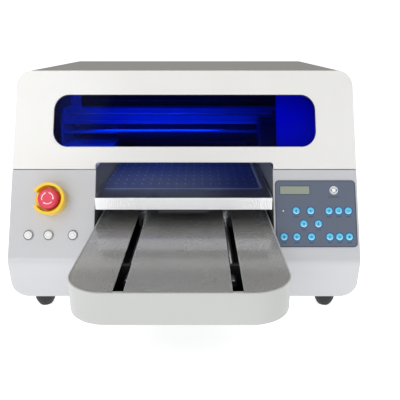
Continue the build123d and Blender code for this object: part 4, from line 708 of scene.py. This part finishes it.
@dataclass
class ControlPanel(Assembly):
    """Printing on the membrane panel and its keys, with painted highlights and painted shade rings on the
    keys.
    """

    ink: float = 0.04 * MM  # thickness of a printed layer
    stroke: tuple[float, float] = (4.6 * MM, 1.1 * MM)  # plus and minus signs
    panel_mid: tuple[float, float] = (245.25 * MM, 180 * MM)
    panel_size: tuple[float, float] = (147.5 * MM, 122.2 * MM)
    display_mid: tuple[float, float] = (207 * MM, 219.2 * MM)
    display_size: tuple[float, float] = (55 * MM, 15 * MM)
    border: float = 0.9 * MM
    roundel_mid: tuple[float, float] = (280 * MM, 219 * MM)
    lamp_mid: tuple[float, float] = (184.5 * MM, 184.3 * MM)

    def spots(self) -> list[tuple[float, float]]:
        """X and Z of every key, in metres."""
        return [(x * MM, z) for z, xs in KEY_ROWS for x in xs]

    def arrow(self, shape: Shape, matrix: Matrix) -> None:
        """Draw an arrow that points along local X."""
        shape.prism(matrix, [(2.6 * MM, 0), (-0.2 * MM, 2.1 * MM), (-0.2 * MM, -2.1 * MM)], self.ink)
        shape.bar(matrix @ at_mm(-1.5, 0), 2.4 * MM, 1.2 * MM, self.ink)

    def icon(self, shape: Shape, kind: Icon, matrix: Matrix) -> None:
        """Draw one pictogram into shape."""
        long, thin = self.stroke
        turn = {Icon.RIGHT: 0, Icon.UP: 90, Icon.LEFT: 180, Icon.DOWN: 270}.get(kind)
        if turn is not None:
            self.arrow(shape, matrix @ turned(turn))
        elif kind is Icon.PLUS:
            shape.bar(matrix, long, thin, self.ink)
            for side in (-1, 1):
                shape.bar(matrix @ at_mm(0, side * 1.5), thin, 1.7 * MM, self.ink)
        elif kind is Icon.MINUS:
            shape.bar(matrix, long, thin, self.ink)
        elif kind is Icon.SQUARE:
            shape.bar(matrix, 3.4 * MM, 3.4 * MM, self.ink)
        elif kind is Icon.BARS:
            for side in (-1, 1):
                shape.bar(matrix @ at_mm(side * 1.2, 0), 1.2 * MM, 3.8 * MM, self.ink)
        else:
            shape.ring(matrix, 1.3 * MM, 2.2 * MM, self.ink, 24)

    def build(self) -> None:
        """Add the key legends and labels, a painted highlight on each key, a painted shade ring round it, and
        the rest of the panel's printing.
        """
        shade_rings, labels = Shape(), Shape()
        for number, ((x, z), kind) in enumerate(zip(self.spots(), KEY_ICONS), start=1):
            on_key = face_matrix(x, z, KEY_OUT + LIFT_OFF)
            on_panel = face_matrix(x, z, PANEL_OUT + LIFT_OFF)
            legend = Shape()
            self.icon(legend, kind, on_key)
            self.add(legend, f"key_legend_{number:02d}", "legend_blue", f"key_{number:02d}")
            # Painted highlight: a white arc on the lower edge of each key's top, drawn in the legend's white.
            painted_highlight = Shape()
            painted_highlight.arc(on_key, 4.6 * MM, 5.4 * MM, 200, 340, self.ink)
            self.add(painted_highlight, f"key_shine_{number:02d}", "legend_white", f"key_{number:02d}")
            # Painted shade: a dark blue ring on the panel round each raised key.
            shade_rings.ring(on_panel, KEY_R + 0.4 * MM, KEY_R + 1.9 * MM, self.ink)
            for step in (-1, 0, 1):
                labels.bar(on_panel @ at_mm(step * 2.9, -11.0), 2.1 * MM, 1.4 * MM, self.ink)
        self.add(shade_rings, "key_surrounds", "legend_blue")
        self.add(labels, "key_labels", "legend_dark")
        self.display()
        self.roundel()
        self.status_lamp()
        edge = Shape()
        edge.frame(face_matrix(*self.panel_mid, PANEL_OUT - 0.2 * MM), *self.panel_size, 6.0 * MM,
                   self.border, 0.28 * MM)
        self.add(edge, "panel_border", "legend_dark")

    def display(self) -> None:
        """Add the bezel line of the display and two rows of blank cells."""
        bezel = Shape()
        bezel.frame(face_matrix(*self.display_mid, PANEL_OUT + LIFT_OFF), *self.display_size, 0.6 * MM,
                    self.border, self.ink)
        self.add(bezel, "display_bezel", "legend_dark")
        cells = Shape()
        inner = face_matrix(*self.display_mid, PANEL_OUT - 0.17 * MM)
        columns, pitch_x, pitch_y = 16, 3.2, 3.0
        for row in (-1, 1):
            for column in range(columns):
                spot = inner @ at_mm((column - (columns - 1) / 2) * pitch_x, row * pitch_y)
                cells.bar(spot, 2.5 * MM, 4.2 * MM, self.ink)
        self.add(cells, "display_cells", "lcd_green")

    def roundel(self) -> None:
        """Add a plain roundel of a disc, two arcs and a ring, with a row of dashes below it."""
        mark = Shape()
        centre = face_matrix(*self.roundel_mid, PANEL_OUT + LIFT_OFF)
        mark.ring(centre, 6.4 * MM, 7.6 * MM, self.ink, 36)
        mark.disc(centre, 3.6 * MM, self.ink, 24)
        for start in (20, 200):
            mark.arc(centre, 4.5 * MM, 5.6 * MM, start, start + 140, self.ink)
        self.add(mark, "panel_roundel", "legend_white")
        dashes = Shape()
        for step, width in zip((-2, -1, 0, 1, 2), (2.4, 3.4, 2.0, 3.4, 2.4)):
            dashes.bar(centre @ at_mm(step * 4.4, -12.6), width * MM, 1.7 * MM, self.ink)
        self.add(dashes, "panel_dashes", "legend_dark")

    def status_lamp(self) -> None:
        """Add the small lamp left of the upper keys, with a dark ring round it."""
        lamp = Shape()
        lamp.disc(face_matrix(*self.lamp_mid, PANEL_OUT), 1.5 * MM, 0.6 * MM, 20)
        self.add(lamp, "status_lamp", "legend_white")
        seat = Shape()
        seat.ring(face_matrix(*self.lamp_mid, PANEL_OUT + LIFT_OFF), 1.7 * MM, 2.4 * MM, self.ink, 20)
        self.add(seat, "status_lamp_seat", "legend_dark")


@dataclass
class PushControls(Assembly):
    """Arrows and collar of the emergency stop, and the rings of the push buttons."""

    estop_x: float = -248 * MM
    estop_z: float = 202.5 * MM
    head_top: float = 25.8 * MM  # top of the red head above the slanted face
    collar_out: float = 9.4 * MM
    arrow_mid: float = 10.3 * MM  # radius of the turning arrows
    arrow_half: float = 0.7 * MM
    arrow_sweep: int = 78
    ink: float = 0.05 * MM
    button_xs: tuple[float, ...] = (-288, -251, -206)
    button_z: float = 144 * MM

    def build(self) -> None:
        """Add the stop button's pieces, then those of each push button."""
        self.stop_button()
        for number, x in enumerate(self.button_xs, start=1):
            self.push_button(number, x * MM)

    def stop_button(self) -> None:
        """Add three turning arrows on the red head, and the collar under it."""
        arrows = Shape()
        flat = face_matrix(self.estop_x, self.estop_z, self.head_top + LIFT_OFF)
        inner, outer = self.arrow_mid - self.arrow_half, self.arrow_mid + self.arrow_half
        for turn in (80, 200, 320):
            start = turn - self.arrow_sweep
            arrows.arc(flat, inner, outer, start, turn, self.ink)
            tip = flat @ turned(start) @ Matrix.Translation((self.arrow_mid, 0, 0))
            arrows.prism(tip, [(-1.7 * MM, 0.4 * MM), (0, -3.2 * MM), (1.7 * MM, 0.4 * MM)], self.ink)
        self.add(arrows, "stop_arrows", "legend_white", "estop_head")
        collar = Shape()
        collar.ring(face_matrix(self.estop_x, self.estop_z, self.collar_out), 10.3 * MM, 13 * MM, 2.4 * MM)
        self.add(collar, "stop_collar", "stem_black", "estop_stem")

    def push_button(self, number: int, x: float) -> None:
        """Add the groove, the seal and the bright ring of one push button."""
        groove = Shape()
        groove.ring(face_matrix(x, self.button_z, 2.25 * MM), 7.4 * MM, 8.6 * MM, 0.12 * MM)
        self.add(groove, f"button_groove_{number}", "gasket")
        rim = Shape()
        rim.ring(face_matrix(x, self.button_z), 9.05 * MM, 9.5 * MM, 0.5 * MM)
        self.add(rim, f"button_seal_{number}", "gasket")
        halo = Shape()
        halo.ring(face_matrix(x, self.button_z, 2.9 * MM + LIFT_OFF), 3.6 * MM, 4.2 * MM, 0.04 * MM)
        self.add(halo, f"button_halo_{number}", "steel", f"push_button_{number}")


@dataclass
class Tray(Assembly):
    """Painted highlights along the slots' right rims, slot ends, underside and frame screws of the tray.
    Places are in millimetres.
    """

    top: float = 166
    slot_xs: tuple[float, ...] = (-81.5, 81.5)
    highlight_offset: float = 7.85  # from the middle of a slot to the rim along its right side
    slot_ends: tuple[float, float] = (-401.8, 206)
    screw_xs: tuple[float, ...] = (-130, 130)
    screw_ys: tuple[float, ...] = (-300, -60, 150)

    def build(self) -> None:
        """Add the pieces of each slot, the plate under the tray and the screws of its frame."""
        front, rear = self.slot_ends
        for number, x in enumerate(self.slot_xs, start=1):
            # Painted highlight: a thin bright strip along the right rim of each slot.
            rim = Shape()
            place = at_mm(x + self.highlight_offset, (front + rear) / 2, self.top + LIFT_OFF / MM)
            rim.bar(place, 0.7 * MM, (rear - front) * MM, 0.08 * MM)
            self.add(rim, f"slot_highlight_{number}", "bright_edge")
            pad = Shape()
            pad.bar(at_mm(x, front - 2.8, self.top - 2.4), 14.4 * MM, 5.0 * MM, 2.0 * MM, 0.3 * MM)
            self.add(pad, f"slot_end_{number}", "skirt_grey")
        under = Shape()
        under.plate(at_mm(0, -92, 118.4), 316 * MM, 630 * MM, 57 * MM, 1.0 * MM)
        self.add(under, "tray_underside", "frame_black")
        screws = Shape()
        for x in self.screw_xs:
            for y in self.screw_ys:
                screws.disc(at_mm(x, y, 121.1), 4 * MM, 2 * MM, 20)
        self.add(screws, "tray_frame_screws", "steel")


@dataclass
class Hood(Assembly):
    """Window gasket and clips, foam, liner and lamp of the hood. Places are in millimetres."""

    window_low: float = 293.8
    window_high: float = 386.4
    clip_xs: tuple[float, ...] = (-200, -70, 70, 200)
    clip_zs: tuple[float, ...] = (281, 399)
    lamp_x: float = -80
    lamp_y: float = 40

    def build(self) -> None:
        """Add what belongs to the hood."""
        self.window()
        for number, side in enumerate((-1, 1), start=1):
            foam = Shape()
            foam.bar(at_mm(side * 323.4, 145, 254.5), 1.8 * MM, 470 * MM, 1.0 * MM)
            self.add(foam, f"hood_foam_{number}", "gasket", "hood")
        liner = Shape()
        liner.bar(at_mm(0, 388, 262), 636 * MM, 1.5 * MM, 146 * MM)
        liner.bar(at_mm(0, 300, 425.2), 590 * MM, 170 * MM, 1.2 * MM)
        self.add(liner, "hood_liner", "gasket", "hood")
        self.lamp()

    def window(self) -> None:
        """Add the gasket round the window's opening and the clips that hold the pane."""
        centre = (self.window_high + self.window_low) / 2 * MM
        slope = (self.window_high - self.window_low) * MM / math.cos(TILT)
        gasket = Shape()
        gasket.frame(face_matrix(0, centre, -3.0 * MM), 500 * MM, slope - 1.6 * MM, 29 * MM,
                     0.9 * MM, 1.6 * MM)
        self.add(gasket, "window_gasket", "gasket", "hood")
        clips = Shape()
        for x in self.clip_xs:
            for z in self.clip_zs:
                clips.bar(face_matrix(x * MM, z * MM, -8.2 * MM), 12 * MM, 14 * MM, 5.0 * MM, 0.6 * MM)
        self.add(clips, "window_clips", "steel", "hood")

    def lamp(self) -> None:
        """Add the lamp strip under the hood's top, with its rail and the rail's front flap."""
        strip = Shape()
        strip.bar(at_mm(self.lamp_x, self.lamp_y, 420), 300 * MM, 9 * MM, 3 * MM, 0.4 * MM)
        self.add(strip, "hood_lamp_strip", "lamp_strip", "hood")
        rail = Shape()
        rail.bar(at_mm(self.lamp_x, self.lamp_y, 423.2), 316 * MM, 16 * MM, 3.4 * MM, 0.5 * MM)
        rail.bar(at_mm(self.lamp_x, self.lamp_y - 8.4, 410.5), 316 * MM, 1.0 * MM, 16 * MM)
        self.add(rail, "hood_lamp_rail", "beam_silver", "hood")


@dataclass
class Gantry(Assembly):
    """Details on the beam, the head and the capping station. Places are in millimetres."""

    bolt_xs: tuple[float, ...] = (-290.2, 302.2)
    bolt_yzs: tuple[tuple[float, float], ...] = (
        (160, 310), (180, 310), (160, 326), (180, 326), (136, 264), (190, 264))
    damper_xs: tuple[float, ...] = (209, 224, 239, 254)
    cap_x: float = 236
    cap_y: float = 100

    def build(self) -> None:
        """Add what belongs to the gantry and the head."""
        self.beam()
        self.ink_feed()
        glass = Shape()
        glass.bar(at_mm(178.7, 95, 260.2), 28 * MM, 54 * MM, 0.7 * MM)
        self.add(glass, "lamp_glass", "lamp_violet", "head")
        label = Shape()
        label.bar(at_mm(self.cap_x, 61.7, 274), 44 * MM, 0.3 * MM, 22 * MM)
        self.add(label, "head_plate", "bright_edge", "head")
        lip = Shape()
        lip.frame(at_mm(self.cap_x, self.cap_y, 254.1), 64 * MM, 72 * MM, 4 * MM, 3 * MM, 1.2 * MM)
        self.add(lip, "cap_well_trim", "dark_plastic")
        pad = Shape()
        pad.bar(at_mm(self.cap_x, self.cap_y, 256.05), 33 * MM, 43 * MM, 0.9 * MM)
        self.add(pad, "cap_pad", "tank_plastic")

    def beam(self) -> None:
        """Add the encoder strip, the shield under the beam and the bolts of its brackets."""
        strip = Shape()
        strip.bar(at_mm(6, 149.2, 319), 566 * MM, 0.4 * MM, 4 * MM)
        self.add(strip, "encoder_strip", "lcd_green")
        shield = Shape()
        shield.bar(at_mm(-2, 154, 258), 328 * MM, 2 * MM, 40.8 * MM)
        self.add(shield, "light_shield", "dark_plastic")
        bolts = Shape()
        for x in self.bolt_xs:
            outwards = Matrix.Rotation(math.copysign(math.pi / 2, x), 4, "Y")
            for y, z in self.bolt_yzs:
                bolts.disc(at_mm(x, y, z) @ outwards, 3.4 * MM, 2.6 * MM, 6)
        self.add(bolts, "beam_bolts", "steel")

    def ink_feed(self) -> None:
        """Add the dampers on top of the head, and the bent tube of each."""
        dampers = Shape()
        for x in self.damper_xs:
            dampers.bar(at_mm(x, 104, 330.2), 11 * MM, 34 * MM, 18 * MM, 1.4 * MM)
        self.add(dampers, "ink_dampers", "dark_plastic", "head")
        for number, x in enumerate(self.damper_xs, start=1):
            tube = Shape()
            start = Vector((x * MM, 96 * MM, 347 * MM))
            tube.hoop(start, start + Vector((0, 9 * MM, 0)), Vector((-1, 0, 0)), 1.6 * MM, 180)
            self.add(tube, f"ink_tube_{number}", "tank_plastic", "head")


@dataclass
class Inside(Assembly):
    """Tank caps and board parts in the housings. Places are in millimetres."""

    inks: tuple[str, ...] = ("ink_black", "ink_cyan", "ink_magenta", "ink_yellow", "ink_white", "ink_clear")
    tank_mid_y: float = 120
    tank_pitch: float = 38
    cap_x: float = -216
    gauge_x: float = -240
    plug_columns: int = 6
    plug_pitch: float = 26
    pin_rows: int = 4
    pin_pitch: float = 4

    def build(self) -> None:
        """Add the six tank caps with ink windows, and the connectors of the main board."""
        for number, ink in enumerate(self.inks):
            y = self.tank_mid_y + self.tank_pitch * (number - (len(self.inks) - 1) / 2)
            cap = Shape()
            cap.disc(at_mm(self.cap_x, y, 171.7), 12.5 * MM, 9 * MM, 24)
            cap.disc(at_mm(self.cap_x, y, 180.9), 9 * MM, 2 * MM, 24)
            self.add(cap, f"tank_cap_{number + 1}", ink)
            gauge = Shape()
            gauge.bar(at_mm(self.gauge_x, y, 155.7), 30 * MM, 12 * MM, 0.5 * MM, 0.1 * MM)
            self.add(gauge, f"tank_gauge_{number + 1}", ink)
        pins = Shape()
        for column in range(self.plug_columns):
            for row in range(self.pin_rows):
                y = -25 + self.plug_pitch * column + (row - (self.pin_rows - 1) / 2) * self.pin_pitch
                pins.bar(at_mm(183.8, y, 63), 1.6 * MM, 0.8 * MM, 2 * MM)
        self.add(pins, "board_pins", "copper")


@dataclass
class BackPanel(Assembly):
    """Fan guard, screws and plate on the back. Places are in millimetres."""

    surface: float = 408.05
    fan_x: float = -238
    fan_z: float = 150
    fan_screw: float = 35.75
    guard_radii: tuple[float, ...] = (10, 18, 26, 34)
    wire_half: float = 0.7

    def build(self) -> None:
        """Add what is fixed to the outside of the back."""
        self.guard()
        screws = Shape()
        spots = [(x, z) for x in (-300, 300) for z in (120, 240, 380)]
        spots += [(self.fan_x + x, self.fan_z + z) for x in (-self.fan_screw, self.fan_screw)
                  for z in (-self.fan_screw, self.fan_screw)]
        spots += [(x, 402) for x in (-270, -210, -30, 30, 210, 270)]
        for x, z in spots:
            screws.disc(facing_rear(x, self.surface, z), 3.0 * MM, 1.3 * MM, 20)
        self.add(screws, "back_screws", "steel")
        plate = Shape()
        plate.bar(facing_rear(110, self.surface, 90), 70 * MM, 40 * MM, 0.4 * MM)
        self.add(plate, "rating_plate", "bright_edge")

    def guard(self) -> None:
        """Add the fan guard: rings of wire and four spokes."""
        guard = Shape()
        centre = facing_rear(self.fan_x, self.surface + 0.05, self.fan_z)
        for radius in self.guard_radii:
            guard.ring(centre, (radius - self.wire_half) * MM, (radius + self.wire_half) * MM, 0.9 * MM, 48)
        for turn in (45, 135, 225, 315):
            guard.bar(centre @ turned(turn) @ at_mm(24, 0, 0.9), 32 * MM, 1.6 * MM, 0.8 * MM)
        self.add(guard, "fan_guard", "steel")


# ------------------------------------------------------------------ studio


@dataclass(frozen=True)
class Softbox:
    """One area light.

    Args:
        name: its name.
        place: where it stands.
        target: what it points at.
        size: width and height.
        power: watts.
    """

    name: str
    place: tuple[float, float, float]
    target: tuple[float, float, float]
    size: tuple[float, float]
    power: float


SOFTBOXES = (
    Softbox("key_light", (-1.3, -1.5, 1.9), (0, -0.1, 0.2), (1.4, 1.0), 10.5),
    Softbox("low_light", (-0.6, -2.1, 0.50), (-0.05, -0.1, 0.12), (1.8, 0.14), 7.0),
    Softbox("fill_light", (0.9, -1.8, 1.3), (0, -0.1, 0.25), (1.2, 1.2), 3.2),
    Softbox("top_light", (0.0, 0.5, 2.2), (0, 0, 0.3), (1.8, 1.2), 9.5),
)


@dataclass
class Studio:
    """Floor, sky, lamps and camera."""

    world_strength: float = 0.46

    def build(self) -> None:
        """Set up everything that isn't the object."""
        self.floor()
        self.world()
        for box in SOFTBOXES:
            self.softbox(box)
        self.camera()
        bpy.context.scene.view_settings.view_transform = "Standard"

    def floor(self) -> None:
        """Add the plain pale floor."""
        bm = bmesh.new()
        bmesh.ops.create_circle(bm, cap_ends=True, radius=14.0, segments=96)
        mesh = bpy.data.meshes.new("floor")
        bm.to_mesh(mesh)
        bm.free()
        material = bpy.data.materials.new("floor")
        material.use_nodes = True
        shader = material.node_tree.nodes["Principled BSDF"]
        shader.inputs["Base Color"].default_value = (0.93, 0.93, 0.93, 1)
        shader.inputs["Roughness"].default_value = 0.9
        shader.inputs["Emission Color"].default_value = (1, 1, 1, 1)
        shader.inputs["Emission Strength"].default_value = 0.74
        mesh.materials.append(material)
        floor = bpy.data.objects.new("floor", mesh)
        bpy.context.scene.collection.objects.link(floor)

    def world(self) -> None:
        """Set a white sky: plain to the camera, dimmer as a lamp."""
        world = bpy.data.worlds.new("studio")
        world.use_nodes = True
        t = Tree(world.node_tree)
        world.node_tree.nodes.clear()
        path = t.node("ShaderNodeLightPath")
        strength = t.math("MULTIPLY_ADD", path.outputs["Is Camera Ray"], 1.05 - self.world_strength,
                          self.world_strength)
        sky = t.node("ShaderNodeBackground", Color=(1.0, 1.0, 1.0, 1.0), Strength=strength)
        t.node("ShaderNodeOutputWorld", Surface=sky.outputs[0])
        bpy.context.scene.world = world

    def softbox(self, box: Softbox) -> None:
        """Add one area light."""
        light = bpy.data.lights.new(box.name, "AREA")
        light.shape = "RECTANGLE"
        light.size, light.size_y = box.size
        light.energy = box.power
        lamp = bpy.data.objects.new(box.name, light)
        lamp.location = box.place
        aim = Vector(box.target) - Vector(box.place)
        lamp.rotation_euler = aim.to_track_quat("-Z", "Y").to_euler()
        bpy.context.scene.collection.objects.link(lamp)

    def camera(self) -> None:
        """Place the camera a little above the machine, looking down at its front."""
        data = bpy.data.cameras.new("camera")
        data.sensor_width = 36.0
        data.lens = 43.56
        camera = bpy.data.objects.new("camera", data)
        camera.location = (0.0295, -0.983, 0.490)
        camera.rotation_euler = (math.radians(71.5), 0, 0)
        bpy.context.scene.collection.objects.link(camera)
        bpy.context.scene.camera = camera


# ------------------------------------------------------------------ assembly


@dataclass
class Printer:
    """The whole machine: finishes on the CAD nodes, and the added pieces."""

    library: MaterialLibrary = field(default_factory=MaterialLibrary)

    def paint(self) -> None:
        """Give every CAD node the finish of its material slot."""
        for part in frame["record"]["subparts"]:
            node = frame["nodes"][part["node"]]
            node.data.materials.clear()
            node.data.materials.append(self.library.get(part["material_slot"]))

    def build(self) -> None:
        """Paint the nodes and add every sub-assembly's pieces."""
        self.paint()
        for assembly in (ControlPanel, PushControls, Tray, Hood, Gantry, Inside, BackPanel):
            assembly(self.library).build()
            log.info("built %s", assembly.__name__)


def main() -> None:
    """Build the printer and the studio round it."""
    logging.basicConfig(level=logging.INFO)
    Printer().build()
    Studio().build()


if __name__ == "__main__":
    main()
